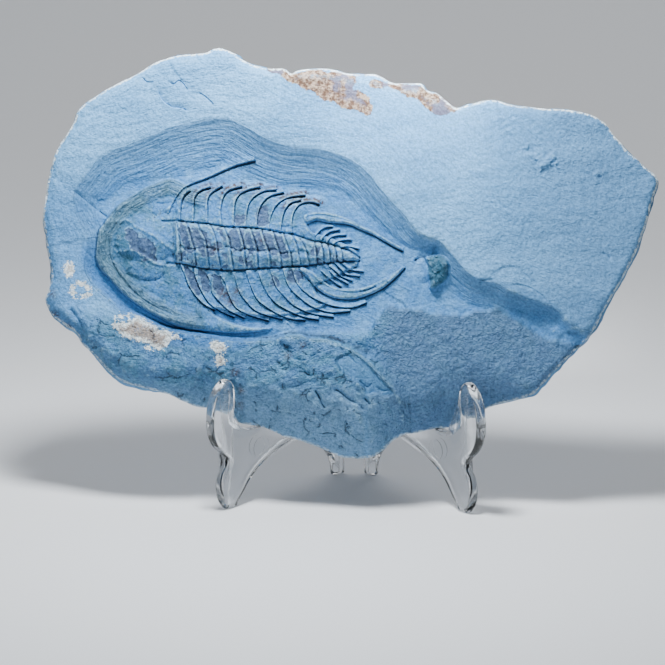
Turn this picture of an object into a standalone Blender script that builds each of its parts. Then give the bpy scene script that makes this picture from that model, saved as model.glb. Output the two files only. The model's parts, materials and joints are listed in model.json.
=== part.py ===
"""Trilobite fossil in a slab of shale, leaning on a clear folding display stand.

The slab is one stone: the animal, its spines, the hollow carved round it and the
broken margins are all one solid. The stand is two clear moulded legs joined by an
upright snap hinge behind the stone.

Slab coordinates are u across the face, v up the face from the floor line and w out of
the face. Leg coordinates are s outwards from the rear foot and z up. All in mm.
"""
import math

import bmesh
import bpy
import numpy as np
from mathutils import Vector, noise
from mathutils.geometry import delaunay_2d_cdt

MM = 0.001
TINY = 1e-6

# How the triangles of a face are made: keep those inside the edge, and weld close points
KEEP_INSIDE = 1
WELD = 1e-4

# The middle of the whole object's footprint, in stand coordinates
BOX_CENTRE_X = -0.99
BOX_CENTRE_Y = 26.29

# How the slab sits
LEAN = math.radians(17.5)
FACE_FOOT_Y = -18.4
SLAB_THICKNESS = 18.5
REST_GAP = 0.3

# The stand's legs
LEG_SPREAD = math.radians(40.0)
LEG_THICKNESS = 5.4
LEG_EDGE_RADIUS = 1.9
ROUND_TURNS = (0.0, 45.0, 90.0)
HINGE_Y = 58.5
FOOT_FROM_HINGE = 10.0
PANEL_FROM_HINGE = 3.36
LEG_STEP = 5.5

# The upright hinge: a rod moulded on the left leg, and clips on the right leg
ROD_RADIUS = 1.6
KNUCKLE_RADIUS = 3.1
CLIP_RADIUS = 3.4
CLIP_BORE = 1.9
CLIP_MOUTH = (190.0, -70.0)
HINGE_BOTTOM = 17.0
KNUCKLE_HEIGHT = 18.6
HINGE_SLOTS = 5
HINGE_PITCH = 19.0
ARM_REACH = 8.0
ARM_INNER = 1.2
ARM_OUTER = 3.0
ARC_STEPS = 12

# Mesh spacing on the stone
OUTLINE_STEP = 4.6
BODY_SPACING = 2.5
ROUGH_SPACING = 5.6
PLAIN_SPACING = 8.5
BACK_SPACING = 15.0
MARK_STEP = 3.2
CROSS_STEP = 4.0
PATH_STEP = 2.5
ROW_SHARE = 0.87
SCATTER = 0.16
CLEAR_OF_EDGE = 2.5
CLEAR_OF_LINES = 0.42
SEED = 7

# The rectangle that holds the whole face, and where its lower rough part ends
FACE_LOW = (-142.0, 26.0)
FACE_HIGH = (142.0, 216.0)
ROUGH_RIGHT = 60.0
ROUGH_TOP = 96.0
FAR = 400.0
SHEET_SCALE = 100.0

# How hollow the carved slope is, and how round the broken margin
SLOPE_CURVE = 1.5
SLOPE_RINGS = (0.0, 0.3)
SHOULDER_CURVE = 1.9

# The uneven break along the lower margin: size of its bumps, their rise, where it fades
# out upwards, and how far in from the edge it reaches
BREAK_SIZE = 11.0
BREAK_RISE = 0.9
BREAK_TOP = 100.0
BREAK_FADE = 20.0
BREAK_REACH = 24.0

# The broken edge of the stone, clockwise from the top: u, v, the depth w at which the
# face meets the broken side, and how far in from the edge the face starts to turn
OUTLINE = (
    (-61.0, 212.7, -1.5, 4), (-50.0, 207.9, -2.0, 4), (-43.2, 204.7, -2.0, 4),
    (-30.3, 203.5, -1.5, 3), (-27.2, 201.3, -2.0, 3), (-18.0, 203.8, -2.5, 4),
    (-3.8, 202.3, -3.0, 5), (9.8, 201.7, -3.0, 5), (19.4, 197.6, -3.0, 5),
    (30.9, 197.4, -3.0, 5), (38.4, 193.1, -3.5, 6), (47.2, 186.2, -1.5, 3),
    (56.2, 188.5, -1.5, 3), (62.0, 190.0, -1.5, 3), (74.4, 187.5, -1.5, 3),
    (97.2, 185.6, -1.5, 3), (106.8, 183.7, -1.5, 4), (113.4, 180.8, -2.0, 4),
    (123.9, 167.5, -2.0, 4), (131.5, 160.8, -2.0, 4), (137.6, 154.7, -2.5, 4),
    (135.4, 145.5, -2.5, 4), (132.5, 134.1, -2.5, 4), (127.7, 120.8, -2.6, 4),
    (121.6, 108.4, -3.2, 4), (114.4, 96.0, -4.0, 4), (107.8, 83.8, -5.5, 4),
    (101.2, 77.2, -6.8, 4), (96.4, 72.4, -7.4, 4), (89.5, 65.0, -8.0, 5),
    (82.9, 58.2, -9.0, 7), (72.4, 55.0, -11.5, 15), (62.0, 51.2, -14.0, 27),
    (52.0, 45.2, -15.5, 30), (47.0, 43.2, -16.0, 30), (39.6, 42.2, -16.5, 22),
    (30.0, 40.1, -16.5, 20), (20.4, 36.2, -17.0, 22),
    (15.0, 31.2, -17.2, 24), (6.0, 28.3, -17.4, 26), (-2.2, 28.6, -17.4, 26),
    (-8.9, 31.4, -17.2, 26), (-21.4, 35.8, -17.0, 26), (-33.4, 39.6, -16.8, 26),
    (-41.0, 42.2, -16.6, 30), (-49.0, 43.5, -16.0, 32), (-58.5, 48.7, -14.5, 31),
    (-69.2, 50.7, -13.0, 27), (-74.8, 52.8, -11.5, 20), (-80.4, 55.4, -10.0, 15),
    (-89.9, 58.0, -9.0, 12), (-102.8, 61.6, -9.0, 11), (-115.1, 72.8, -8.8, 9),
    (-123.5, 82.9, -8.4, 8), (-130.8, 87.9, -8.0, 7), (-137.0, 95.2, -7.2, 7),
    (-138.0, 98.0, -6.8, 6), (-136.1, 103.6, -6.0, 5), (-135.4, 112.0, -5.6, 5),
    (-138.2, 126.5, -5.0, 5), (-139.6, 134.1, -4.6, 5), (-137.3, 153.2, -3.6, 5),
    (-133.5, 166.5, -3.0, 6), (-125.8, 178.9, -2.5, 5),
    (-124.3, 183.7, -2.0, 4), (-110.6, 194.2, -2.0, 4), (-90.6, 205.6, -2.0, 4),
    (-80.0, 209.4, -2.0, 4), (-66.7, 210.4, -1.5, 4),
)

# Heights of the untouched face, joined by a smooth sheet
FACE_LEVELS = (
    (-60, 200, 0.2), (-105, 185, 0.0), (0, 188, 0.3), (50, 170, 0.0), (100, 170, -0.2),
    (125, 145, -0.8), (80, 135, 0.2), (100, 105, -0.6), (-20, 175, 0.2), (-134, 160, -0.8),
    (-136, 125, -3.2), (-128, 100, -3.6), (-112, 88, -3.2), (-95, 80, -2.4), (-80, 72, -0.8),
    (-65, 68, -0.8), (-45, 70, -2.0), (-20, 68, 0.6), (0, 66, 1.6), (12, 60, 0.6),
    (-12, 56, 0.8), (-70, 88, -4.0), (-30, 82, -3.5), (60, 130, 0.0),
)

# Heights of the lower floor: the hollow round the animal and the flat at lower right
FLOOR_LEVELS = (
    (-118, 125, -6.6), (-60, 160, -7.2), (-60, 120, -7.4), (-80, 88, -6.8), (0, 140, -7.2),
    (0, 90, -6.8), (25, 110, -6.6), (55, 92, -6.2), (90, 80, -6.0), (40, 75, -5.2),
    (70, 62, -5.4), (30, 55, -4.6), (100, 88, -2.8), (108, 79, -3.4), (96, 74, -5.2),
    (82, 92, -6.2),
)

# The broken side, face to back: share of the thickness, reach outwards and its sway.
# Low down, where the ledges carry the stone, the side runs straight
SIDE_LEDGES = ((0.25, 0.5, 0.5), (0.6, -0.2, 0.7), (1.0, -1.6, 1.0))
SIDE_SWAY_SIZE = 14.0
SIDE_STRAIGHT = 50.0
SIDE_STRAIGHT_FADE = 10.0
SIDE_TAPER = 0.25
THINNEST = 1.0

# The edge of that floor, clockwise: u, v and the width of the slope down from it
FLOOR_EDGE = (
    (-119, 126, 9), (-124, 140, 11), (-124, 148, 13), (-120.5, 154, 15), (-114, 162, 17),
    (-100, 168.8, 18), (-82, 176.4, 21), (-72.5, 178.9, 22), (-61, 180.8, 23),
    (-53.4, 179.9, 22), (-38.1, 171.7, 19), (-19, 167.5, 18), (-9.5, 166.1, 17),
    (0, 162.7, 16), (13.3, 150.3, 13), (24.8, 137.9, 12), (30, 130.8, 9), (40, 126.4, 6),
    (46.6, 120.4, 8), (50, 115.5, 11), (56, 110.8, 12), (66.4, 109.4, 14), (80, 102, 10),
    (94, 95.2, 6), (97.6, 91.3, 5), (112, 84, 5), (120, 60, 5), (60, 30, 5), (27, 34, 4),
    (25.6, 42, 4), (25.2, 49.2, 5), (22.3, 56.4, 5.5), (17, 63.1, 6), (10.8, 69.4, 6),
    (4.1, 74.8, 4), (-8.4, 80.6, 2.6), (-22.8, 82.4, 2.6), (-33.8, 80.4, 3),
    (-55, 79.5, 4), (-74.8, 83.4, 3), (-86, 86, 3), (-97.2, 91, 3), (-108.4, 98, 3.5),
    (-117, 106, 4), (-120, 114, 7),
)

# The animal's own edge, without the free spines, clockwise from the head
BODY_EDGE = (
    (-115.5, 118), (-114.2, 130), (-110, 136.5), (-99.1, 146.5), (-91.5, 150.9),
    (-82, 154.1), (-75, 151.2), (-63.8, 149.6), (-49, 149.6), (-33.6, 148), (-20.6, 145.2),
    (-15, 139), (-6, 133), (1, 128.5), (5.5, 121), (6.4, 114), (2, 108), (-5, 104.6),
    (-12, 96.5), (-22, 92.4), (-34, 91), (-50, 91.6), (-60, 91.5), (-73.6, 86), (-90, 92.5),
    (-100, 99), (-107, 105.5), (-112.5, 111),
)

# The animal's body: the step up at its edge, and the low dome over it
BODY_STEP = 1.1
BODY_STEP_WIDTH = 1.6
BODY_DOME = 2.3
BODY_DOME_WIDTH = 24.0

# The axis: where it starts and ends, its rise at the head and the tail
AXIS_HEAD = -80.0
AXIS_TAIL = 4.0
AXIS_RISE = 3.3
AXIS_TAIL_RISE = 1.4
AXIS_ROUND = 3.0

# Half width and rise of the lines across the animal; a rise below nought is a groove
FURROW_SHAPE = (0.7, -0.6)
RING_SHAPE = (0.6, -0.7)
RIB_SHAPE = (0.7, 0.8)
RIM_SHAPE = (2.2, 1.3)
EYE_SHAPE = (1.3, 0.8)
RIDGE_SHAPE = (1.2, 0.7)
FOLD_SHAPE = (1.7, 0.9)

# A pleural spine: its rise and its fade to the left at base and tip, the width of its
# steep side, and how far past its end it stops
SPINE_RISE = (0.5, 1.5)
SPINE_FADE = (4.2, 2.2)
SPINE_STEEP = 0.5
SPINE_END = 0.8
SPINE_SWELL = 0.8
SPINE_CURVE = 1.4

# The furrows on either side of the axis, head to tail
UPPER_FURROW = (
    (-84.6, 134.2), (-70.2, 133.5), (-57.3, 131.8), (-41.9, 131.1), (-26, 128.8),
    (-16.7, 125.8), (-5.3, 123.4), (4.5, 118.6),
)
LOWER_FURROW = (
    (-82.2, 115), (-69.8, 113.6), (-53, 112.2), (-36.2, 113.6), (-19.5, 114.6),
    (-9, 116.2), (4.5, 117.2),
)

# Pleural spines from the upper furrow to their tips. Each stands up on its left
UPPER_SPINES = (
    ((-76.9, 133.6), (-77, 138.9), (-75.8, 145.5), (-73.2, 148.7)),
    ((-71.1, 133.8), (-71.2, 142.8), (-68.3, 148.7), (-63.8, 150.5)),
    ((-64.7, 133.6), (-65.1, 143.4), (-62.5, 148.3), (-58.5, 150.9)),
    ((-57.9, 132), (-58.8, 141.3), (-56.9, 147.3), (-49.4, 150.9)),
    ((-52.6, 132), (-52.8, 140.9), (-50.3, 147.1), (-41.2, 150.7)),
    ((-47, 132.4), (-46.2, 141.8), (-41.7, 147.5), (-33.6, 149.5)),
    ((-42.2, 131.3), (-40.9, 141.1), (-36.4, 146.5), (-30.4, 148.4)),
    ((-36.4, 130), (-35.5, 138.3), (-31, 144.5), (-20.6, 147.2)),
    ((-31.3, 129.4), (-30.6, 137.5), (-27.2, 143.3), (-22.5, 144.9)),
    ((-26.3, 128.7), (-25.9, 137.9), (-22.5, 143), (-13.8, 143.1)),
)
LOWER_SPINES = (
    ((-76.2, 115), (-72.8, 107), (-68.4, 100), (-60.4, 94.5)),
    ((-70, 113.6), (-66, 102), (-60, 95), (-51.5, 91.5)),
    ((-64, 110), (-61.6, 102.2), (-55.8, 95.8), (-47, 91.2)),
    ((-58, 110), (-54.2, 101.8), (-48.4, 93.6), (-36, 90.1)),
    ((-51.6, 110), (-46.6, 99), (-42, 94.4), (-29.8, 90.8)),
    ((-46.5, 112), (-39.3, 98.3), (-32, 93.2), (-19.6, 90.5)),
    ((-40.8, 111.4), (-35.1, 100), (-28, 95), (-13.5, 90.8)),
    ((-35, 111.4), (-29, 101), (-21.6, 95.4), (-6.8, 92)),
    ((-29.8, 113), (-22, 100.4), (-13.9, 95.4), (0.6, 94.8)),
    ((-25.4, 113), (-18, 101.7), (-8.4, 97.1), (7.8, 98.6)),
)

# Rings across the axis, and ribs of the tail shield
AXIS_RINGS = (
    ((-78.4, 132.8), (-76.7, 124.6), (-76, 116.5)),
    ((-74.1, 132.8), (-71.2, 124.6), (-69.5, 114.6)),
    ((-69.3, 132.8), (-65.4, 126.1), (-63.5, 113.6)),
    ((-64, 132.8), (-60, 124), (-58.2, 112.6)),
    ((-57.3, 131.4), (-54.4, 125.1), (-52.5, 112.6)),
    ((-50.1, 130.4), (-47.7, 122.2), (-46.5, 112.6)),
    ((-44.8, 130.2), (-41.7, 120.8), (-41.4, 113.6)),
    ((-40, 130.2), (-36.2, 119.4), (-35.7, 114.1)),
    ((-34.7, 129.4), (-30.9, 117.4), (-30.9, 113.6)),
    ((-30, 128.5), (-26.3, 118.3), (-26.3, 114.9)),
    ((-25.7, 127.3), (-24, 123.4), (-22.3, 116)),
    ((-22.3, 126.2), (-20.1, 122.2), (-18.4, 116)),
)
TAIL_RIBS = (
    ((-15.5, 128.5), (-11, 132.5), (-7.9, 132.8)), ((-12.8, 126.5), (-9, 130.5), (-4.7, 131.4)),
    ((-10.3, 125.5), (-6, 128.8), (-1.8, 129)), ((-7.5, 124.5), (-3, 126.7), (0.7, 126.9)),
    ((-12.5, 112.5), (-8.4, 108.9), (-3.5, 105.7)), ((-8.6, 112.5), (-5.3, 109.6), (-0.4, 107)),
    ((-9.1, 114.9), (-3.6, 110.3), (1.5, 108.4)), ((-6.5, 116.3), (-1.7, 111.5), (4.6, 110.5)),
    ((-2.9, 115.8), (0.5, 113.4), (6.3, 112.7)),
)

# Long blades: middle line, half width at base and tip, height at base and tip
BLADES = (
    (((-19, 135.6), (-13, 137.4), (-5, 136), (4, 133.2), (14, 128.6), (24.1, 122.5)),
     2.2, 0.5, 2.4, 1.5),
    (((-20, 112), (-14, 105.8), (-6, 102.4), (4.8, 102.8), (15, 107), (24.8, 114.6)),
     2.4, 0.5, 2.4, 1.5),
    (((-98, 104), (-84, 93), (-66.4, 87.6), (-50, 85.8), (-33.8, 86.4)), 3.4, 0.4, 1.5, 1.0),
    (((-93, 147.5), (-80, 151), (-69.8, 155), (-58, 159), (-43.5, 162.9)), 2.8, 0.4, 1.6, 1.0),
)

# The head: rim, glabella, eye lobe
HEAD_RIM = (
    (-104, 139), (-110, 133), (-112.3, 126), (-112.4, 118), (-109.6, 111.6), (-103, 104.2),
    (-95, 98), (-85, 92.6),
)
EYE_LOBE = ((-101, 110), (-94, 108.3), (-86.5, 108), (-83, 112), (-83, 115))
CHEEK_RIDGES = (
    ((-105.5, 120), (-97, 120.5), (-89, 115.5), (-84, 114)),
    ((-104, 133.5), (-97, 131.5), (-88, 127), (-81, 122), (-76.3, 115)),
)
GLABELLA_CENTRE = (-91.5, 124.5)
GLABELLA_HALF = (15.0, 9.0)
GLABELLA_RISE = 2.4
DOME_CURVE = 0.65

# The stone knob behind the tail
KNOB_CENTRE = (40.2, 112.3)
KNOB_HALF = (4.6, 7.2)
KNOB_RISE = 5.0
KNOB_RINGS = (1.0, 0.7)
KNOB_CORNERS = 12

# Low folds in the stone right of the knob, and the bumps at upper right
FOLDS = (
    ((60, 109.5), (66.4, 112), (73, 114.7), (80.8, 111.4), (86.8, 105.4)),
    ((71, 105.5), (79.6, 106.9), (87.4, 103.6)),
    ((72, 178), (82, 165.5), (89, 161.5)),
)

# The stone's back stays flat where the fins touch it and wanders elsewhere
BACK_HOLLOW = 2.2
BACK_SIZE = 45.0
BACK_FLAT = 8.0
BACK_FADE = 18.0
BACK_FOOT = 50.0
BACK_FOOT_FADE = 12.0

# The leg outline in stretches, from the front foot up, over and back to the rear foot
LEG_FRONT = (
    (72.0, 0.0), (74.6, 3.5), (76.0, 8.0), (76.0, 12.0), (74.3, 17.0), (71.7, 20.3),
    (70.6, 22.5), (73.0, 25.5), (77.0, 29.2), (80.0, 34.0), (81.3, 40.0), (80.9, 48.0),
    (79.6, 52.5), (77.0, 56.6), (74.0, 59.4), (71.2, 60.5), (68.4, 59.4), (66.6, 56.5),
    (66.0, 52.5), (66.3, 47.5), (67.0, 43.5), (66.3, 40.0), (63.8, 37.6), (59.5, 35.6),
    (54.8, 34.7),
)
LEG_HEAD = ((11.5, 125.4), (5.0, 127.0), (-2.0, 125.4), (-5.0, 120.0))
LEG_HEEL = ((-5.0, 6.0), (-4.8, 2.4), (-4.0, 0.0))
LEG_ARCH = (
    (1.0, 0.0), (1.6, 3.0), (3.6, 9.0), (7.5, 14.5), (11.0, 19.5), (14.5, 23.2),
    (19.5, 25.0), (26.0, 24.3), (34.5, 22.7), (44.0, 18.9), (51.0, 15.5), (57.0, 11.0),
    (61.0, 6.4), (64.6, 2.3), (66.5, 0.0),
)
LEDGE_Z = 34.8
FIN_TURN_Z = 119.0

STONE_COLOUR = (0.19, 0.32, 0.43, 1.0)
PLASTIC_COLOUR = (0.90, 0.93, 0.97, 1.0)


def smooth_path(points, step, closed=False):
    """Points every few mm along a smooth curve through the given ones."""
    knots = np.asarray(points, float)
    if closed:
        knots = np.vstack([knots[-1:], knots, knots[:2]])
    else:
        first = 2 * knots[0] - knots[1]
        last = 2 * knots[-1] - knots[-2]
        knots = np.vstack([first, knots, last])
    made = []
    for a, b, c, d in zip(knots, knots[1:], knots[2:], knots[3:]):
        gap = [math.sqrt(max(np.linalg.norm((q - p)[:2]), TINY)) for p, q in ((a, b), (b, c), (c, d))]
        out = ((b - a) / gap[0] - (c - a) / (gap[0] + gap[1]) + (c - b) / gap[1]) * gap[1]
        into = ((c - b) / gap[1] - (d - b) / (gap[1] + gap[2]) + (d - c) / gap[2]) * gap[1]
        count = max(1, round(np.linalg.norm((c - b)[:2]) / step))
        t = (np.arange(count) / count)[:, None]
        made.append((2 * t**3 - 3 * t**2 + 1) * b + (t**3 - 2 * t**2 + t) * out
                    + (3 * t**2 - 2 * t**3) * c + (t**3 - t**2) * into)
    if not closed:
        made.append(knots[-2:-1])
    return np.vstack(made)


def near_path(places, path, reach, closed=False):
    """Which places lie within reach of a path, and their distance, side and share along it.

    Side is positive to the left of the path's run.
    """
    ends = np.vstack([path, path[:1]]) if closed else path
    starts = ends[:-1, :2]
    runs = np.diff(ends[:, :2], axis=0)
    lengths = np.linalg.norm(runs, axis=1)
    low = ends[:, :2].min(axis=0) - reach
    high = ends[:, :2].max(axis=0) + reach
    index = np.nonzero(((places >= low) & (places <= high)).all(axis=1))[0]
    if len(index) == 0:
        return index, np.zeros(0), np.zeros(0), np.zeros(0)
    offsets = places[index][:, None, :] - starts[None]
    share = np.clip((offsets * runs).sum(axis=2) / lengths**2, 0, 1)
    gaps = offsets - share[..., None] * runs
    distances = np.linalg.norm(gaps, axis=2)
    best = distances.argmin(axis=1)
    rows = np.arange(len(index))
    travelled = np.concatenate([[0], np.cumsum(lengths)])
    along = (travelled[best] + share[rows, best] * lengths[best]) / travelled[-1]
    turn = runs[best, 0] * offsets[rows, best, 1] - runs[best, 1] * offsets[rows, best, 0]
    return index, distances[rows, best], np.where(turn >= 0, 1.0, -1.0), along


def across_ring(places, ring):
    """Each place's distance from a closed ring, with the ring's own extra values nearest it."""
    closed_ring = np.vstack([ring, ring[:1]])
    runs = np.linalg.norm(np.diff(closed_ring[:, :2], axis=0), axis=1)
    shares = np.concatenate([[0], np.cumsum(runs)]) / runs.sum()
    index, distance, side, along = near_path(places, ring, FAR, closed=True)
    values = [np.interp(along, shares, closed_ring[:, column]) for column in range(2, ring.shape[1])]
    return distance, values


def inside(places, path):
    """Whether each place lies inside a closed path."""
    crossed = np.zeros(len(places), bool)
    for (u0, v0), (u1, v1) in zip(path[:, :2], np.roll(path[:, :2], -1, axis=0)):
        spans = (v0 > places[:, 1]) != (v1 > places[:, 1])
        if v0 != v1:
            meets = u0 + (places[:, 1] - v0) * (u1 - u0) / (v1 - v0)
            crossed ^= spans & (places[:, 0] < meets)
    return crossed


def ease(x):
    """Smooth step from 0 to 1."""
    x = np.clip(x, 0, 1)
    return x * x * (3 - 2 * x)


def sheet(levels, places):
    """A thin plate bent through the given levels, read at the places."""
    table = np.asarray(levels, float)
    knots = table[:, :2] / SHEET_SCALE

    def bend(r):
        return r * r * np.log(np.maximum(r, TINY))

    spread = bend(np.linalg.norm(knots[:, None] - knots[None], axis=2))
    plane = np.column_stack([np.ones(len(knots)), knots])
    corner = np.zeros((3, 3))
    system = np.block([[spread, plane], [plane.T, corner]])
    weights = np.linalg.solve(system, np.concatenate([table[:, 2], np.zeros(3)]))
    spots = places / SHEET_SCALE
    reach = bend(np.linalg.norm(spots[:, None] - knots[None], axis=2))
    return reach @ weights[:-3] + np.column_stack([np.ones(len(spots)), spots]) @ weights[-3:]


def ragged(places, size, seed):
    """Smooth seeded unevenness between about -1 and 1, with bumps of the given size."""
    return np.array([noise.noise(Vector((u / size, v / size, seed))) for u, v in places]) * 2


def add_spine(height, places, points):
    """A pleural spine: steep on the right of its run, fading to the left."""
    low, high = SPINE_RISE
    broad, narrow = SPINE_FADE
    path = smooth_path(points, PATH_STEP)
    index, distance, side, along = near_path(places, path, broad)
    offset = distance * side
    rise = low + (high - low) * along**SPINE_SWELL
    fade = broad + (narrow - broad) * along
    left = np.where(offset >= 0, np.clip(1 - offset / fade, 0, 1)**SPINE_CURVE, 0)
    right = np.where(offset < 0, np.clip(1 + offset / SPINE_STEEP, 0, 1), 0)
    beyond = np.where((along >= 1) | (along <= 0), np.clip(1 - distance / SPINE_END, 0, 1), 1)
    height[index] += rise * (left + right) * beyond


def add_blade(height, places, points, wide, narrow, tall, short):
    """A long tapering spine with a rounded back."""
    path = smooth_path(points, PATH_STEP)
    index, distance, side, along = near_path(places, path, wide)
    half = wide + (narrow - wide) * along
    rise = tall + (short - tall) * along
    height[index] += rise * np.sqrt(np.clip(1 - (distance / half)**2, 0, 1))


def add_line(height, places, points, half, rise):
    """A narrow ridge, or a groove where the rise is negative."""
    path = smooth_path(points, PATH_STEP)
    index, distance, side, along = near_path(places, path, 2 * half)
    height[index] += rise * np.exp(-(distance / half)**2)


def add_dome(height, places, centre, half, rise):
    """A rounded boss on an oval base."""
    spread = (places - np.array(centre)) / np.array(half)
    height += rise * np.clip(1 - (spread**2).sum(axis=1), 0, 1)**DOME_CURVE


def add_body(height, places):
    """The animal's low dome, its axis with rings, its spines and its head."""
    body = smooth_path(BODY_EDGE, MARK_STEP, closed=True)
    distance, values = across_ring(places, body)
    depth = np.where(inside(places, body), distance, 0)
    height += BODY_STEP * ease(depth / BODY_STEP_WIDTH) + BODY_DOME * ease(depth / BODY_DOME_WIDTH)

    u = places[:, 0]
    upper = np.interp(u, *np.transpose(UPPER_FURROW))
    lower = np.interp(u, *np.transpose(LOWER_FURROW))
    across = (places[:, 1] - (upper + lower) / 2) / np.maximum((upper - lower) / 2, 0.5)
    length = np.clip((u - AXIS_HEAD) / (AXIS_TAIL - AXIS_HEAD), 0, 1)
    ends = ease((u - AXIS_HEAD) / AXIS_ROUND) * ease((AXIS_TAIL + 1 - u) / AXIS_ROUND)
    lobe = np.sqrt(np.clip(1 - across**2, 0, 1))
    height += (AXIS_RISE + (AXIS_TAIL_RISE - AXIS_RISE) * length) * lobe * ends

    for furrow in (UPPER_FURROW, LOWER_FURROW):
        add_line(height, places, furrow, *FURROW_SHAPE)
    for ring in AXIS_RINGS:
        add_line(height, places, ring, *RING_SHAPE)
    for spine in UPPER_SPINES + LOWER_SPINES:
        add_spine(height, places, spine)
    for rib in TAIL_RIBS:
        add_line(height, places, rib, *RIB_SHAPE)
    for blade in BLADES:
        add_blade(height, places, *blade)

    add_line(height, places, HEAD_RIM, *RIM_SHAPE)
    add_line(height, places, EYE_LOBE, *EYE_SHAPE)
    for ridge in CHEEK_RIDGES:
        add_line(height, places, ridge, *RIDGE_SHAPE)
    add_dome(height, places, GLABELLA_CENTRE, GLABELLA_HALF, GLABELLA_RISE)


def face_height(places):
    """How far the stone's face stands out of its plane at each place."""
    edge = smooth_path(OUTLINE, MARK_STEP, closed=True)
    floor_edge = smooth_path(FLOOR_EDGE, MARK_STEP, closed=True)
    face = sheet(FACE_LEVELS, places)
    floor = sheet(FLOOR_LEVELS, places)

    distance, (width,) = across_ring(places, floor_edge)
    fall = 1 - (1 - np.clip(distance / width, 0, 1))**SLOPE_CURVE
    low = np.where(inside(places, floor_edge), fall, 0)
    height = face + (floor - face) * low

    add_body(height, places)
    add_dome(height, places, KNOB_CENTRE, KNOB_HALF, KNOB_RISE)
    for fold in FOLDS:
        add_line(height, places, fold, *FOLD_SHAPE)

    distance, (depth, turn) = across_ring(places, edge)
    shoulder = 1 - (1 - np.clip(distance / turn, 0, 1))**SHOULDER_CURVE
    low_down = ease((BREAK_TOP - places[:, 1]) / BREAK_FADE)
    rough = BREAK_RISE * low_down * ease((BREAK_REACH - distance) / BREAK_REACH)
    height = depth + (height - depth) * shoulder
    return height + ragged(places, BREAK_SIZE, SEED) * rough


def offset_path(path, amount):
    """The path moved to its left by an amount, open paths only."""
    runs = np.gradient(path[:, :2], axis=0)
    runs /= np.linalg.norm(runs, axis=1)[:, None]
    return path[:, :2] + np.column_stack([-runs[:, 1], runs[:, 0]]) * amount


def mark_lines(edge):
    """The lines on the face that the mesh's edges follow."""
    lines = []
    for spine in UPPER_SPINES + LOWER_SPINES:
        path = smooth_path(spine, MARK_STEP)
        lines.append(offset_path(path, 0.1))
        lines.append(offset_path(path, -SPINE_STEEP - 0.1))
    for ring in AXIS_RINGS:
        lines.append(smooth_path(ring, CROSS_STEP)[:, :2])
    for furrow in (UPPER_FURROW, LOWER_FURROW):
        lines.append(smooth_path(furrow, MARK_STEP)[:, :2])
    for points, wide, narrow, tall, short in BLADES:
        path = smooth_path(points, MARK_STEP)
        taper = np.linspace(wide, narrow, len(path))[:, None]
        lines.append(path[:, :2])
        lines.append(offset_path(path, taper))
        lines.append(offset_path(path, -taper))
    for rib in TAIL_RIBS:
        lines.append(smooth_path(rib, MARK_STEP)[:, :2])
    for ridge in CHEEK_RIDGES + (EYE_LOBE, HEAD_RIM) + FOLDS:
        lines.append(smooth_path(ridge, CROSS_STEP)[:, :2])
    for share in SLOPE_RINGS:
        ring = smooth_path(FLOOR_EDGE, OUTLINE_STEP, closed=True)
        ring = ring[:, :2] + outward(ring[:, :2]) * ring[:, 2:] * share
        lines += kept_runs(np.vstack([ring, ring[:1]]), edge)
    for share in KNOB_RINGS:
        turns = np.linspace(0, 2 * math.pi, KNOB_CORNERS + 1)[:, None]
        oval = np.hstack([np.cos(turns), np.sin(turns)]) * np.array(KNOB_HALF) * share
        lines.append(oval + np.array(KNOB_CENTRE))
    return lines


def kept_runs(line, edge):
    """The stretches of a line that stay clear inside the stone's edge."""
    distance, values = across_ring(line, edge)
    keep = inside(line, edge) & (distance > CLEAR_OF_EDGE)
    runs = [[]]
    for place, kept in zip(line, keep):
        if kept:
            runs[-1].append(place)
        elif runs[-1]:
            runs.append([])
    return [np.array(run) for run in runs if len(run) > 1]


def fill_places(edge, lines):
    """Places spread over the face, closer together where there is more to show."""
    body = smooth_path(BODY_EDGE, 2 * MARK_STEP, closed=True)
    marks = np.vstack(lines)
    random = np.random.default_rng(SEED)
    chosen = []
    for spacing in (BODY_SPACING, ROUGH_SPACING, PLAIN_SPACING):
        across = np.arange(FACE_LOW[0], FACE_HIGH[0], spacing)
        up = np.arange(FACE_LOW[1], FACE_HIGH[1], spacing * ROW_SHARE)
        grid = np.array([(u + (row % 2) * spacing / 2, v) for row, v in enumerate(up) for u in across])
        grid += random.uniform(-SCATTER, SCATTER, grid.shape) * spacing
        in_body = inside(grid, body)
        rough = (grid[:, 1] < ROUGH_TOP) & (grid[:, 0] < ROUGH_RIGHT) & ~in_body
        wanted = {BODY_SPACING: in_body, ROUGH_SPACING: rough, PLAIN_SPACING: ~(in_body | rough)}
        grid = grid[wanted[spacing] & inside(grid, edge)]
        distance, values = across_ring(grid, edge)
        grid = grid[distance > min(spacing / 2, CLEAR_OF_EDGE)]
        near = np.linalg.norm(grid[:, None] - marks[None], axis=2).min(axis=1)
        chosen.append(grid[near > spacing * CLEAR_OF_LINES])
    return np.vstack(chosen)


def face_triangles(edge, lines, filling):
    """The face cut into triangles that follow its edge and its lines."""
    verts = [Vector(p) for p in edge[:, :2]]
    loop = list(range(len(verts)))
    edges = []
    for line in lines:
        start = len(verts)
        verts += [Vector(p) for p in line]
        edges += [(k, k + 1) for k in range(start, len(verts) - 1)]
    verts += [Vector(p) for p in filling]
    made = delaunay_2d_cdt(verts, edges, [loop], KEEP_INSIDE, WELD)
    return np.array([tuple(p) for p in made[0]]), made[2]


def boundary_loop(triangles):
    """The vertices round the outside of a set of triangles, in order."""
    follows = {}
    used = {(t[k], t[(k + 1) % 3]) for t in triangles for k in range(3)}
    for a, b in used:
        if (b, a) not in used:
            follows[a] = b
    start = next(iter(follows))
    loop = [start]
    while follows[loop[-1]] != start:
        loop.append(follows[loop[-1]])
    return loop


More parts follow.
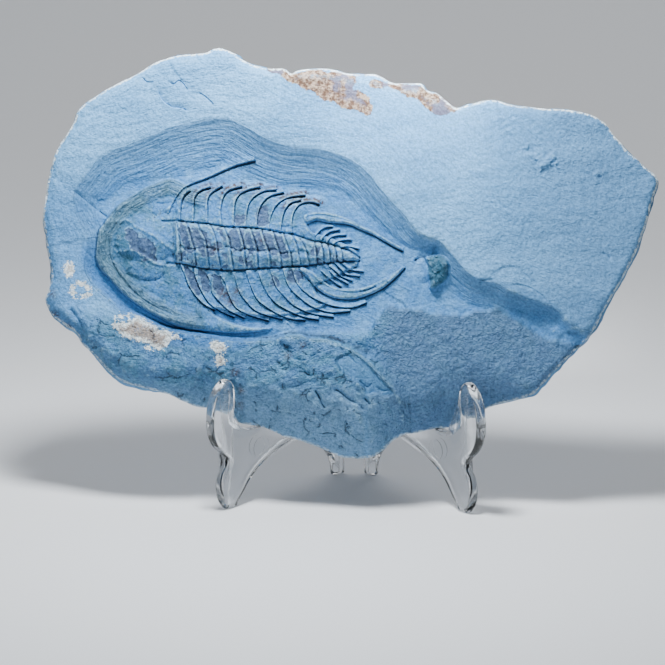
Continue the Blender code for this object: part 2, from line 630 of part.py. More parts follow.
def back_height(places):
    """The depth of the stone's back: flat where the fins stand behind it."""
    v = places[:, 1]
    fin_u = (fin_front(v * math.cos(LEAN)) + FOOT_FROM_HINGE) * math.sin(LEG_SPREAD)
    beside = np.abs(np.abs(places[:, 0]) - fin_u)
    above = np.maximum(v - FIN_TURN_Z, 0)
    clear = ease((np.hypot(beside, above) - BACK_FLAT) / BACK_FADE)
    clear *= ease((v - BACK_FOOT) / BACK_FOOT_FADE)
    sway = np.clip(ragged(places, BACK_SIZE, SEED + 5), -1, 1)
    return -SLAB_THICKNESS + BACK_HOLLOW * clear * (1 + sway) / 2


def slab_mesh():
    """The stone: its worked face, broken sides and flat back, as one closed body."""
    edge = smooth_path(OUTLINE, OUTLINE_STEP, closed=True)
    lines = mark_lines(edge)
    places, triangles = face_triangles(edge, lines, fill_places(edge, lines))
    triangles = [t if turn_of(places, t) > 0 else t[::-1] for t in triangles]
    loop = boundary_loop(triangles)
    height = face_height(places)
    height[loop] = np.maximum(height[loop], THINNEST - SLAB_THICKNESS)

    mesh = bmesh.new()
    face = [mesh.verts.new((u * MM, v * MM, w * MM)) for (u, v), w in zip(places, height)]
    for triangle in triangles:
        mesh.faces.new([face[k] for k in triangle])

    ring = places[loop]
    out = outward(ring)
    bulge = ragged(ring, SIDE_SWAY_SIZE, SEED + 3)
    free = ease((ring[:, 1] - SIDE_STRAIGHT) / SIDE_STRAIGHT_FADE)
    last = [face[k] for k in loop]
    for share, reach, sway in SIDE_LEDGES:
        wander = (reach + sway * bulge) * free - SIDE_TAPER * share
        now = ring + out * wander[:, None]
        depths = height[loop] * (1 - share) - SLAB_THICKNESS * share
        level = [mesh.verts.new((u * MM, v * MM, w * MM)) for (u, v), w in zip(now, depths)]
        for k in range(len(loop)):
            n = (k + 1) % len(loop)
            mesh.faces.new((last[n], last[k], level[k], level[n]))
        last = level

    grid = np.array([(u, v) for u in np.arange(FACE_LOW[0], FACE_HIGH[0], BACK_SPACING)
                     for v in np.arange(FACE_LOW[1], FACE_HIGH[1], BACK_SPACING)])
    grid = grid[inside(grid, now)]
    distance, values = across_ring(grid, now)
    grid = grid[distance > BACK_SPACING * CLEAR_OF_LINES]
    places, triangles = face_triangles(now, [], grid)
    within = places[len(last):]
    last += [mesh.verts.new((u * MM, v * MM, w * MM)) for (u, v), w in zip(within, back_height(within))]
    for t in triangles:
        order = t[::-1] if turn_of(places, t) > 0 else t
        mesh.faces.new([last[k] for k in order])
    bmesh.ops.triangulate(mesh, faces=mesh.faces[:])
    return to_mesh(mesh, "fossil_slab")


def turn_of(places, triangle):
    """Positive where the triangle runs anticlockwise."""
    a, b, c = (places[k] for k in triangle)
    return (b[0] - a[0]) * (c[1] - a[1]) - (b[1] - a[1]) * (c[0] - a[0])


def outward(ring):
    """Unit vectors pointing out of an anticlockwise ring."""
    runs = np.roll(ring, -1, axis=0) - np.roll(ring, 1, axis=0)
    runs /= np.linalg.norm(runs, axis=1)[:, None]
    return np.column_stack([runs[:, 1], -runs[:, 0]])


def to_mesh(built, name):
    """Finish a bmesh as a named mesh."""
    mesh = bpy.data.meshes.new(name)
    built.to_mesh(mesh)
    built.free()
    return mesh


def fin_front(z):
    """How far out the fin reaches at a height, to stand just behind the leaning slab."""
    back_y = FACE_FOOT_Y + SLAB_THICKNESS / math.cos(LEAN) + z * math.tan(LEAN)
    rounding = LEG_EDGE_RADIUS * (math.cos(LEG_SPREAD) + math.sin(LEG_SPREAD) - 1)
    edge_y = back_y + REST_GAP / math.cos(LEAN) - rounding
    corner = (PANEL_FROM_HINGE - LEG_THICKNESS / 2) * math.sin(LEG_SPREAD)
    return (HINGE_Y + corner - edge_y) / math.cos(LEG_SPREAD) - FOOT_FROM_HINGE


def leg_outline():
    """The leg's side view as one anticlockwise ring of s and z."""
    fin_foot = (fin_front(LEDGE_Z), LEDGE_Z)
    fin_head = (fin_front(FIN_TURN_Z), FIN_TURN_Z)
    front = smooth_path(LEG_FRONT + (fin_foot,), LEG_STEP)
    head = smooth_path((fin_head,) + LEG_HEAD, LEG_STEP)
    heel = smooth_path(LEG_HEEL, LEG_STEP)
    arch = smooth_path(LEG_ARCH, LEG_STEP)
    ring = np.vstack([front, head, heel, arch])
    ring[:, 1] = np.maximum(ring[:, 1], 0)
    return ring


def rounded_panel(ring, low, high, radius):
    """A flat plate with rounded edges, from a ring in X and Z, between two Y values."""
    out = outward(ring)
    mesh = bmesh.new()
    turns = [math.radians(turn) for turn in ROUND_TURNS]
    depths = [(radius * (1 - math.sin(turn)), radius * (1 - math.cos(turn))) for turn in turns]
    levels = [(ring - out * inset, low + rise) for rise, inset in reversed(depths)]
    levels += [(ring - out * inset, high - rise) for rise, inset in depths]
    loops = [[mesh.verts.new((x * MM, y * MM, z * MM)) for x, z in places] for places, y in levels]
    for before, after in zip(loops, loops[1:]):
        for k in range(len(ring)):
            n = (k + 1) % len(ring)
            mesh.faces.new((before[k], before[n], after[n], after[k]))
    mesh.faces.new(loops[0][::-1])
    mesh.faces.new(loops[-1])
    bmesh.ops.triangulate(mesh, faces=[f for f in mesh.faces if len(f.verts) > 4])
    bmesh.ops.recalc_face_normals(mesh, faces=mesh.faces[:])
    return mesh


def prism(plan, bottom, top, name):
    """A plan outline raised between two heights, as a hidden helper object."""
    mesh = bmesh.new()
    rows = [[mesh.verts.new((x * MM, y * MM, z * MM)) for x, y in plan] for z in (bottom, top)]
    for k in range(len(plan)):
        n = (k + 1) % len(plan)
        mesh.faces.new((rows[0][k], rows[0][n], rows[1][n], rows[1][k]))
    mesh.faces.new(rows[0][::-1])
    mesh.faces.new(rows[1])
    bmesh.ops.recalc_face_normals(mesh, faces=mesh.faces[:])
    helper = bpy.data.objects.new(name, to_mesh(mesh, name))
    helper.hide_render = True
    helper.display_type = "WIRE"
    bpy.context.scene.collection.objects.link(helper)
    return helper


def arc(radius, start, end):
    """Points on a circle round the hinge's axis, between two angles in degrees."""
    return [(radius * math.cos(math.radians(a)), radius * math.sin(math.radians(a)))
            for a in np.linspace(start, end, ARC_STEPS)]


def knuckle_plan(mirror):
    """A closed knuckle with the arm that joins it to the panel."""
    angle = math.degrees(math.asin(ARM_INNER / KNUCKLE_RADIUS))
    first = math.degrees(math.asin(ARM_OUTER / KNUCKLE_RADIUS))
    plan = arc(KNUCKLE_RADIUS, first, 360 + angle) + [(ARM_REACH, ARM_INNER), (ARM_REACH, ARM_OUTER)]
    return [(x, y * mirror) for x, y in plan]


def clip_plan(mirror):
    """An open clip that snaps over the rod, with its arm."""
    angle = math.degrees(math.asin(ARM_INNER / CLIP_RADIUS))
    first = math.degrees(math.asin(ARM_OUTER / CLIP_RADIUS))
    start, end = CLIP_MOUTH
    plan = arc(CLIP_RADIUS, first, start) + arc(CLIP_BORE, start, end) + arc(CLIP_RADIUS, end, angle)
    plan += [(ARM_REACH, ARM_INNER), (ARM_REACH, ARM_OUTER)]
    return [(x, y * mirror) for x, y in plan]


def add_leg(name, mirror, root):
    """One clear leg with its half of the hinge. Mirror is 1 on the right, -1 on the left."""
    ring = leg_outline() + np.array([FOOT_FROM_HINGE, 0])
    middle = PANEL_FROM_HINGE * mirror
    panel = rounded_panel(ring, middle - LEG_THICKNESS / 2, middle + LEG_THICKNESS / 2, LEG_EDGE_RADIUS)
    leg = bpy.data.objects.new(name, to_mesh(panel, name))
    bpy.context.scene.collection.objects.link(leg)
    helpers = []
    for slot in range(HINGE_SLOTS):
        bottom = HINGE_BOTTOM + slot * HINGE_PITCH
        left_slot = slot % 2 == 0
        if mirror < 0 and left_slot:
            plan = knuckle_plan(mirror)
            helpers.append(prism(plan, bottom, bottom + KNUCKLE_HEIGHT, f"knuckle_{slot}"))
        if mirror > 0 and not left_slot:
            plan = clip_plan(mirror)
            helpers.append(prism(plan, bottom, bottom + KNUCKLE_HEIGHT, f"clip_{slot}"))
    if mirror < 0:
        top = HINGE_BOTTOM + (HINGE_SLOTS - 1) * HINGE_PITCH + KNUCKLE_HEIGHT / 2
        plan = arc(ROD_RADIUS, 0, 360 - 360 / ARC_STEPS)
        helpers.append(prism(plan, HINGE_BOTTOM + KNUCKLE_HEIGHT / 2, top, "rod"))
    for helper in helpers:
        helper.parent = leg
        join = leg.modifiers.new(helper.name, "BOOLEAN")
        join.operation = "UNION"
        join.solver = "EXACT"
        join.object = helper
    leg.parent = root
    leg.location = (0, HINGE_Y * MM, 0)
    leg.rotation_euler = (0, 0, -math.pi / 2 + LEG_SPREAD * mirror)
    return leg


def add_slab(root):
    """The stone, leaning back on the legs."""
    slab = bpy.data.objects.new("fossil_slab", slab_mesh())
    bpy.context.scene.collection.objects.link(slab)
    slab.parent = root
    slab.location = (0, FACE_FOOT_Y * MM, 0)
    slab.rotation_euler = (math.pi / 2 - LEAN, 0, 0)
    return slab


def plain_material(name, colour, roughness, clear):
    """A surface of one colour, see-through where clear is 1."""
    material = bpy.data.materials.new(name)
    material.use_nodes = True
    shader = material.node_tree.nodes["Principled BSDF"]
    shader.inputs["Base Color"].default_value = colour
    shader.inputs["Roughness"].default_value = roughness
    shader.inputs["Metallic"].default_value = 0.0
    shader.inputs["Transmission Weight"].default_value = clear
    return material


def main():
    """Build the stone and the stand."""
    for old in list(bpy.data.objects):
        bpy.data.objects.remove(old)
    root = bpy.data.objects.new("stand_frame", None)
    bpy.context.scene.collection.objects.link(root)
    root.location = (-BOX_CENTRE_X * MM, -BOX_CENTRE_Y * MM, 0)
    stone = plain_material("stone", STONE_COLOUR, 0.75, 0.0)
    plastic = plain_material("clear_plastic", PLASTIC_COLOUR, 0.08, 1.0)
    add_slab(root).data.materials.append(stone)
    for name, mirror in (("stand_left_leg", -1), ("stand_right_leg", 1)):
        add_leg(name, mirror, root).data.materials.append(plastic)


main()
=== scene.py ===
"""The looks of a trilobite in a shale slab that leans on a clear folding stand.

Slab coordinates are u across the face, v up the face from the floor line and w out of
the face. Leg coordinates are s outwards from the rear foot and z up. All in mm, except the
lamps and the floor, and the stand's middle is found from the hinge in the frame.
"""
import json
import math

import bmesh
import bpy
import numpy as np
from mathutils import Matrix, Vector
from mathutils.geometry import delaunay_2d_cdt


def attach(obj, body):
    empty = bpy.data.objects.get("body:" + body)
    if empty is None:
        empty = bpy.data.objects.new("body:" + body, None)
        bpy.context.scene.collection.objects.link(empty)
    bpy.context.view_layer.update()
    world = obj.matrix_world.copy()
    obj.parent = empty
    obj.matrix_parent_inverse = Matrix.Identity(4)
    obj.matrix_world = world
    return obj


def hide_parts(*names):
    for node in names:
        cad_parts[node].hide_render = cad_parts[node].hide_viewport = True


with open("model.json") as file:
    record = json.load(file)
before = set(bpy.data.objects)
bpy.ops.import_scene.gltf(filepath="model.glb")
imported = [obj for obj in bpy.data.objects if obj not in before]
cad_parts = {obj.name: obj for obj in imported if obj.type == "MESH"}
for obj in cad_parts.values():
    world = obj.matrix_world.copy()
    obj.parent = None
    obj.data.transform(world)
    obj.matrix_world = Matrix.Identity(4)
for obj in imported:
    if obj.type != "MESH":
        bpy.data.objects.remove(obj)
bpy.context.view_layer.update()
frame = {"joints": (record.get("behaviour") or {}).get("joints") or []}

MM = 0.001
STONE_BODY = "left_leg_and_stone"
RIGHT_BODY = "right_leg"

# The stand and how the slab leans on it
HINGE_Y = 58.5
LEAN = math.radians(17.5)
FACE_FOOT_Y = -18.4
THICKNESS = 18.5
REST_GAP = 0.3
LEG_SPREAD = math.radians(40.0)
LEG_THICKNESS = 5.4
LEG_EDGE_RADIUS = 2.1
FOOT_FROM_HINGE = 10.0
PANEL_FROM_HINGE = 3.36

# Camera: place in stand millimetres, angles in degrees, lens for a 36 mm sensor
CAMERA_PLACE = (72.09, -1108.53, 358.03)
CAMERA_DOWN = 13.94
CAMERA_TURN = 4.037
CAMERA_ROLL = -0.248
CAMERA_LENS = 139.4

# Spacing of the stone's mesh in different parts of the face, and steps along its curves
DETAIL_SPACING = 0.43
SPOT_SPACING = 0.7
SPOT_REACH = 2.4
KNOB_REACH = 9.0
HOLLOW_SPACING = 1.1
ROUGH_SPACING = 1.0
PLAIN_SPACING = 1.5
EDGE_SPACING = 1.1
BACK_SPACING = 2.6
LINE_SPACING = 0.48
CURVE_STEP = 0.8
PATCH_STEP = 1.0
RING_STEP = 1.5
ZONE_STEP = 2.0

# Rows down the broken side, rounds of smoothing that a groove is measured against, and the
# angle from which an edge counts as sharp
SIDE_ROWS = 10
HOLLOW_ROUNDS = 4
SHARP_DEGREES = 48

# The seed, how many places are handled at once, and the cells and gain of the unevenness
SEED = 11
PLACES_AT_ONCE = 20000
WANDER_CELLS = 64
WANDER_GAIN = 1.6

# The part of the face that the mesh's grids cover, and where their zones end
GRID_U = (-142, 142)
GRID_V = (26, 216)
BASIN_END_U = 30
ROUGH_END_U = 95
ROUGH_TOP_V = 98

# The broken edge of the stone, clockwise from the top: u, v, the depth w at which the
# face meets the broken side, and how far in from the edge the face starts to turn
OUTLINE = (
    (-61.0, 212.7, -1.5, 4), (-53.4, 210.4, -1.8, 4), (-50.0, 207.9, -2.0, 4),
    (-43.2, 204.9, -2.0, 4), (-36.4, 203.5, -2.0, 4), (-30.3, 203.5, -1.5, 3),
    (-27.2, 201.3, -2.0, 3), (-25.5, 202.6, -2.3, 3), (-18.0, 203.8, -2.5, 4),
    (-9.9, 203.7, -3.0, 5), (-3.8, 202.3, -3.0, 5), (4.4, 201.4, -3.0, 5),
    (9.8, 201.7, -3.0, 5), (12.8, 200.4, -3.0, 5), (19.4, 197.6, -3.0, 5),
    (30.9, 197.4, -3.0, 5), (34.3, 194.3, -3.3, 5), (38.4, 193.1, -3.5, 6),
    (42.5, 189.6, -2.5, 4), (47.2, 186.2, -1.5, 3), (51.5, 187.3, -1.5, 3),
    (56.2, 188.7, -1.5, 3), (62.0, 190.0, -1.5, 3), (74.4, 187.6, -1.5, 3),
    (85.8, 186.4, -1.5, 3), (97.2, 185.7, -1.5, 3), (106.8, 184.0, -1.5, 4),
    (113.4, 180.4, -2.0, 4), (118.9, 173.4, -2.0, 4), (123.9, 167.5, -2.0, 4),
    (131.5, 160.8, -2.0, 2), (137.6, 154.7, -2.5, 2), (135.4, 145.5, -2.5, 2),
    (132.5, 134.1, -2.5, 2), (127.7, 120.8, -2.6, 2), (121.6, 108.4, -3.2, 2),
    (114.4, 96.0, -4.0, 2), (107.8, 83.8, -5.5, 2.5), (101.2, 77.2, -6.8, 3),
    (96.4, 72.4, -7.4, 3), (89.5, 65.0, -8.0, 4), (82.9, 58.2, -9.0, 6),
    (72.4, 55.0, -11.5, 15), (62.0, 51.2, -14.0, 27), (57.0, 47.8, -15.0, 29),
    (52.0, 45.2, -15.5, 30), (47.0, 43.2, -16.0, 30), (39.6, 42.2, -16.5, 22),
    (30.0, 40.1, -16.5, 20), (25.2, 39.1, -16.8, 21), (20.4, 36.2, -17.0, 22),
    (15.0, 31.2, -17.2, 24), (10.8, 29.0, -17.3, 25), (6.0, 28.3, -17.4, 26),
    (-2.2, 28.6, -17.4, 26), (-8.9, 31.4, -17.2, 26), (-13.2, 33.1, -17.1, 26),
    (-21.4, 35.8, -17.0, 26), (-30.0, 38.2, -16.9, 26), (-33.4, 39.6, -16.8, 26),
    (-41.0, 42.2, -16.6, 30), (-49.0, 43.5, -16.0, 32), (-53.0, 45.6, -15.5, 32),
    (-58.5, 48.7, -14.5, 31), (-69.2, 50.7, -13.0, 27), (-74.8, 52.8, -11.5, 20),
    (-80.4, 55.4, -10.0, 15), (-89.9, 58.0, -9.0, 12), (-102.8, 61.6, -9.0, 11),
    (-109.0, 66.6, -9.0, 10), (-115.1, 72.8, -8.8, 9), (-121.3, 78.7, -8.6, 8),
    (-123.5, 82.9, -8.4, 8), (-130.8, 87.9, -8.0, 7), (-134.4, 90.4, -7.6, 7),
    (-137.0, 95.2, -7.2, 7), (-138.0, 98.0, -6.8, 6), (-136.1, 103.6, -6.0, 5),
    (-135.4, 112.0, -5.6, 5), (-137.2, 118.9, -5.4, 5), (-138.2, 126.5, -5.0, 5),
    (-139.6, 134.1, -4.6, 5), (-138.8, 141.5, -4.0, 5), (-137.3, 153.2, -3.6, 5),
    (-133.5, 166.5, -3.0, 6), (-129.8, 172.5, -2.8, 5), (-125.8, 178.9, -2.5, 5),
    (-124.3, 183.7, -2.0, 4), (-118.2, 189.2, -2.0, 4), (-110.6, 194.2, -2.0, 4),
    (-98.2, 200.7, -2.0, 4), (-90.6, 205.4, -2.0, 4), (-80.0, 209.2, -2.0, 4),
    (-66.7, 210.6, -1.5, 4),
)

# Heights of the untouched face, joined by a smooth sheet
FACE_LEVELS = (
    (-60, 200, 0.2), (-105, 185, 0.0), (0, 188, 0.3), (50, 170, 0.0), (100, 170, -0.2),
    (125, 145, -0.8), (80, 135, 0.2), (100, 105, -0.6), (-20, 175, 0.2), (-134, 160, -0.8),
    (-136, 125, -3.2), (-128, 100, -3.6), (-112, 88, -3.2), (-95, 80, -2.4), (-80, 72, -0.8),
    (-65, 68, -0.8), (-45, 70, -2.0), (-20, 68, 0.6), (0, 66, 1.6), (12, 60, 0.6),
    (-12, 56, 0.8), (-70, 88, -4.0), (-30, 82, -3.5), (60, 130, 0.0),
)

# Heights of the lower floor: the hollow round the animal and the flat at lower right
FLOOR_LEVELS = (
    (-118, 125, -6.6), (-60, 160, -7.2), (-60, 120, -7.4), (-80, 88, -6.8), (0, 140, -7.2),
    (0, 90, -6.8), (25, 110, -6.6), (55, 92, -6.2), (90, 80, -6.0), (40, 75, -5.2),
    (70, 62, -5.4), (30, 55, -4.6), (100, 88, -2.8), (108, 79, -3.4), (96, 74, -5.2), (82, 92, -6.2),
)

# The edge of that floor, clockwise: u, v and the width of the slope down from it
FLOOR_EDGE = (
    (-119, 126, 9), (-122.5, 133, 10), (-125, 140, 11), (-125, 147, 13), (-120.5, 154, 15),
    (-114, 162, 17), (-108.7, 165.6, 17), (-100, 168.8, 18), (-91.5, 172.2, 20),
    (-82, 176.4, 21), (-72.5, 178.9, 22), (-61, 180.8, 23), (-53.4, 179.9, 22),
    (-45.8, 176.1, 20), (-38.1, 171.7, 19), (-28.6, 168.4, 18), (-19, 167.5, 18),
    (-9.5, 166.1, 17), (0, 162.7, 16), (7.6, 157, 15), (13.3, 150.3, 13), (19, 143.6, 12),
    (24.8, 137.9, 12), (29.8, 131.2, 9), (35.2, 127.9, 7), (40, 126.4, 6), (44.8, 122.2, 7),
    (46.6, 120.4, 8), (49.6, 116.2, 10), (55.6, 110.8, 11), (60, 108.6, 12),
    (66.4, 107.6, 13), (72, 104.6, 12), (80, 101.2, 9), (88, 98.4, 7), (94, 95.4, 5),
    (97.6, 91.3, 3.5), (101, 88.6, 4), (112, 84, 5), (120, 60, 5), (60, 30, 5),
    (27, 34, 3), (25.6, 42, 3), (25.2, 49.2, 4), (23.8, 53.5, 5), (20.4, 59.3, 6),
    (17, 63.1, 6.5), (13.7, 66.5, 6.5), (10.8, 69.4, 6), (4.1, 74.8, 4), (-2.2, 78, 3),
    (-8.4, 80.6, 2.2), (-17, 81.3, 2), (-22.8, 82.6, 2), (-30.5, 81.6, 2),
    (-33.8, 80.2, 2.4), (-55, 79.5, 3.5), (-74.8, 83.4, 2.6), (-80.4, 84.2, 2.4),
    (-86, 86, 2.4), (-91.6, 88.5, 2.4), (-97.2, 91, 2.6), (-102.8, 93.2, 2.6),
    (-108.4, 98, 2.8), (-112.8, 101.6, 3), (-117, 106, 3.5), (-120, 113, 6),
)
SLOPE_CURVE = 1.5
SHOULDER_CURVE = 1.9

# How far in mm the stone's surfaces wave, ridge and flake
LUMP_WAVES = 0.9
LUMP_RIDGES = 1.4
LUMP_FLAKES = 0.45
FLAT_CALM = 0.72
MARGIN_WAVES = 0.7
FACE_WAVES = 0.5
FACE_FLAKES = 0.22
FLOOR_WAVES = 0.25
SKIN_WAVES = 0.3
SKIN_FLAKES = 0.22
PLUM_DEPTH = 0.28
KNOB_WAVES = 1.3
KNOB_FLAKES = 0.8

# The broken side: how far it bulges and draws in, its ledges, and how the edge is nibbled
SIDE_BULGE = 0.9
SIDE_DRAW_IN = 1.7
SIDE_LEDGES = 1.6
NIBBLES = 0.45
NIBBLE_INSET = 0.25

# The back: distance kept flat round the fins, its waves and its finer roughness
FIN_CLEARANCE = 8
BACK_WAVES = 2.0
BACK_ROUGHNESS = 0.7

# The animal's own edge, without the free spines, clockwise from the head
BODY_EDGE = (
    (-115.5, 118), (-115.2, 122), (-114.2, 130), (-112, 133), (-110, 136.5),
    (-105.8, 141.7), (-99.1, 146.5), (-91.5, 150.9), (-82, 154.1), (-75, 151.6),
    (-70, 149.4), (-63.8, 148.2), (-49, 148.2), (-33.6, 146.6), (-26, 144.8),
    (-20.6, 142.6), (-18.4, 138.5), (-19.2, 133.5), (-16.5, 130), (-12, 128.9),
    (-8, 127.6), (-4, 125.8), (0, 124), (3.2, 121.5), (4.6, 118), (3.4, 115), (0, 112.8),
    (-4, 111), (-8, 109), (-12, 107.4), (-15, 105.4), (-13.6, 101.4), (-9.6, 98.8),
    (-12, 96), (-20, 93.4), (-30, 92.2), (-40, 91.8), (-50, 92.6), (-57.6, 94.6),
    (-61.4, 95), (-60.2, 92.2), (-54.4, 89.5), (-49.6, 87.9), (-44.8, 87), (-39, 86.7),
    (-33.8, 86.3), (-40, 84.7), (-44.8, 84.2), (-52, 83.7), (-59.2, 84.2), (-66.4, 84.7),
    (-73.6, 85.5), (-80, 87.5), (-85, 90), (-90, 92.5), (-95, 95.5), (-100, 99),
    (-103.5, 102), (-107, 105.5), (-110, 109), (-112.5, 111), (-114.5, 114),
)

# A loose outline round the animal and all its spines
DETAIL_EDGE = (
    (-119, 118), (-118, 131), (-109, 143), (-92, 154), (-78, 158), (-58, 163), (-40, 167),
    (-37, 162), (-46, 155), (-30, 153), (-12, 148.5), (0, 141), (14, 134.5), (27, 125),
    (30, 118.5), (27, 112), (14, 103), (11, 96.5), (-4, 89.5), (-20, 87.5), (-30, 83.5),
    (-50, 81), (-75, 82.5), (-93, 89), (-105, 97.5), (-115, 107),
)

# The furrows on either side of the axis, head to tail
UPPER_FURROW = (
    (-84.6, 134.2), (-76.5, 134), (-70.2, 133.5), (-64.5, 133), (-57.3, 131.8),
    (-52.5, 131.6), (-46.7, 131.4), (-41.9, 131.1), (-35.7, 130.2), (-31, 129.3),
    (-26, 128.8), (-21.2, 127.3), (-16.7, 125.8), (-11.6, 125.1), (-5.3, 123.4),
    (0.3, 121.4), (4.5, 118.6),
)
LOWER_FURROW = (
    (-82.2, 115), (-76.5, 115), (-69.8, 113.6), (-65.9, 112.9), (-59.2, 112.4),
    (-53, 112.2), (-46.2, 112.6), (-41.9, 113.1), (-36.2, 113.6), (-31.4, 113.7),
    (-26.3, 114.4), (-19.5, 114.6), (-15, 115.5), (-9, 116.2), (-3, 116.8), (4.5, 117.2),
)
AXIS_CREASE = (
    (-76, 122.5), (-70, 121), (-66, 122.8), (-60, 120.5), (-55, 122), (-50, 120.4),
    (-45, 121.8), (-40, 120.2), (-34, 121.2), (-29, 119.6), (-24, 120.6), (-18, 119.6),
)

# Pleural spines from the upper furrow to their tips. Each stands up on its left
UPPER_SPINES = (
    ((-76.9, 133.6), (-77, 138.9), (-76.4, 144.1), (-75.1, 146.8), (-73.2, 148.7)),
    ((-71.1, 133.8), (-71, 138.9), (-71.2, 142.8), (-70.6, 146), (-68.3, 148.7), (-63.8, 150.5)),
    ((-64.7, 133.6), (-64.9, 140), (-65.1, 143.4), (-63.8, 147), (-61.4, 149.2), (-58.5, 150.9)),
    ((-57.9, 132), (-58.8, 137.9), (-58.8, 141.3), (-57.7, 146), (-55.6, 148.8), (-49.4, 150.9)),
    ((-52.6, 132), (-52.7, 138.4), (-52.2, 143.9), (-50.3, 147.1), (-46.6, 149.3), (-41.2, 150.7)),
    ((-47, 132.4), (-46.9, 138.8), (-45.8, 143.3), (-43.4, 146.3), (-39.4, 148.7), (-33.6, 149.5)),
    ((-42.2, 131.3), (-41.7, 138.8), (-39.8, 143.3), (-36.4, 146.5), (-30.4, 148.4)),
    ((-36.4, 130), (-36.4, 133.9), (-35.5, 138.3), (-33.2, 142.6), (-28.5, 145.8), (-20.6, 147.2)),
    ((-31.3, 129.4), (-30.8, 135.4), (-29.8, 139.6), (-27.2, 143.3), (-22.5, 144.9)),
    ((-26.3, 128.7), (-26.3, 135.8), (-25.1, 140.1), (-22.5, 143), (-18, 144.1), (-13.8, 143.1)),
)
LOWER_SPINES = (
    ((-76.2, 115), (-74, 110), (-72, 105), (-68.4, 100), (-65, 96.8), (-60.4, 94.5)),
    ((-70, 113.6), (-69.4, 110), (-66, 102), (-62.4, 97), (-58, 94.2), (-51.5, 91.5)),
    ((-64, 110), (-62, 105.8), (-61.6, 102.2), (-58.6, 98.6), (-54, 94.4), (-47, 91.2)),
    ((-58, 110), (-56, 107), (-54.2, 101.8), (-50.8, 95.6), (-46, 93), (-41.2, 91.4), (-36, 90.1)),
    ((-51.6, 110), (-49.2, 102.6), (-46.6, 99), (-42, 94.4), (-38, 92.8), (-29.8, 90.8)),
    ((-46.5, 112), (-44, 105), (-41, 99.3), (-36, 95.4), (-30, 92.2), (-25, 90.8), (-19.6, 90.5)),
    ((-40.8, 111.4), (-37.8, 104.2), (-33.4, 98.4), (-28, 95), (-20, 91.8), (-13.5, 90.8)),
    ((-35, 111.4), (-32.6, 105), (-29, 101), (-24.4, 96.8), (-16.8, 93.5), (-6.8, 92)),
    ((-29.8, 113), (-27, 105.5), (-22, 100.4), (-16.1, 96.4), (-8.4, 94.1), (0.6, 94.8)),
    ((-25.4, 113), (-23.4, 107), (-18, 101.7), (-10.8, 98.1), (-3.6, 96.4), (2.4, 96.6), (7.8, 98.6)),
)

# How a spine is shaped: rise at base and tip, fade to the left at base and tip, width of
# the gap on its right at base and tip, and how deep that gap gets
UPPER_KIND = (0.45, 1.1, 4.4, 2.6, 0.35, 1.35, 1.3)
LOWER_KIND = (0.5, 1.4, 4.0, 2.0, 0.35, 0.9, 0.8)
RIB_KIND = (1.1, 1.3, 1.5, 0.9, 0.5, 0.7, 0.5)
MACRO_KIND = (0.7, 1.1, 3.0, 1.4, 0.4, 0.9, 0.7)
CHEEK_KIND = (0.7, 1.2, 5.0, 2.2, 0.9, 1.5, 1.1)

# The axis: its start and length, its rise at the head, how much less it is at the tail, how far a ring's
# slope reaches, the ring's rise, the groove beside it, and the depth of crease and furrows
AXIS_START = -80
AXIS_LENGTH = 84
AXIS_RISE = 3.3
AXIS_TAPER = 1.7
RING_REACH = 2.4
RING_RISE = 0.8
RING_GROOVE = 0.6
CREASE_DEPTH = 0.7
FURROW_DEPTH = 0.9

# Rings across the axis from upper to lower furrow, and the closer rings of the tail
AXIS_RINGS = (
    ((-78.4, 132.8), (-77.7, 129), (-76.7, 124.6), (-76.5, 120.8), (-76, 116.5)),
    ((-74.1, 132.8), (-72.6, 129), (-71.2, 124.6), (-70, 120.3), (-69.5, 114.6)),
    ((-69.3, 132.8), (-67.4, 129.4), (-65.4, 126.1), (-64.5, 121.3), (-63.5, 113.6)),
    ((-64, 132.8), (-62, 130), (-60, 124), (-59.2, 118.4), (-58.2, 112.6)),
    ((-57.3, 131.4), (-55.8, 128.5), (-54.4, 125.1), (-53.7, 120.8), (-52.5, 112.6)),
    ((-50.1, 130.4), (-48.6, 126), (-47.7, 122.2), (-47.2, 118.4), (-46.5, 112.6)),
    ((-44.8, 130.2), (-43.6, 127), (-41.7, 120.8), (-41.4, 113.6)),
    ((-40, 130.2), (-38.6, 126), (-36.2, 119.4), (-35.7, 114.1)),
    ((-34.7, 129.4), (-33.3, 125.1), (-30.9, 117.4), (-30.9, 113.6)),
    ((-30, 128.5), (-28.6, 124.5), (-26.3, 118.3), (-26.3, 114.9)),
    ((-25.7, 127.3), (-24, 123.4), (-22.3, 116)),
    ((-22.3, 126.2), (-20.1, 122.2), (-18.4, 116)),
)
TAIL_RING_STARTS = (-16.5, -13.4, -10.5, -7.6, -4.8)
TAIL_RIBS = (
    ((-15.5, 128.5), (-13.5, 131), (-11, 132.5), (-7.9, 132.8)),
    ((-12.8, 126.5), (-11, 129), (-9, 130.5), (-4.7, 131.4)),
    ((-10.3, 125.5), (-8.5, 127.8), (-6, 128.8), (-1.8, 129)),
    ((-7.5, 124.5), (-5.5, 126), (-3, 126.7), (0.7, 126.9)),
    ((-4, 123.3), (-1, 123.8), (4.2, 122.9)),
    ((-12.5, 112.5), (-10.6, 110.8), (-8.4, 108.9), (-3.5, 105.7)),
    ((-8.6, 112.5), (-7.2, 111), (-5.3, 109.6), (-0.4, 107)),
    ((-9.1, 114.9), (-5.3, 112), (-3.6, 110.3), (1.5, 108.4)),
    ((-6.5, 116.3), (-3.1, 113), (-1.7, 111.5), (4.6, 110.5)),
    ((-2.9, 115.8), (-1.2, 114.4), (0.5, 113.4), (6.3, 112.7)),
)

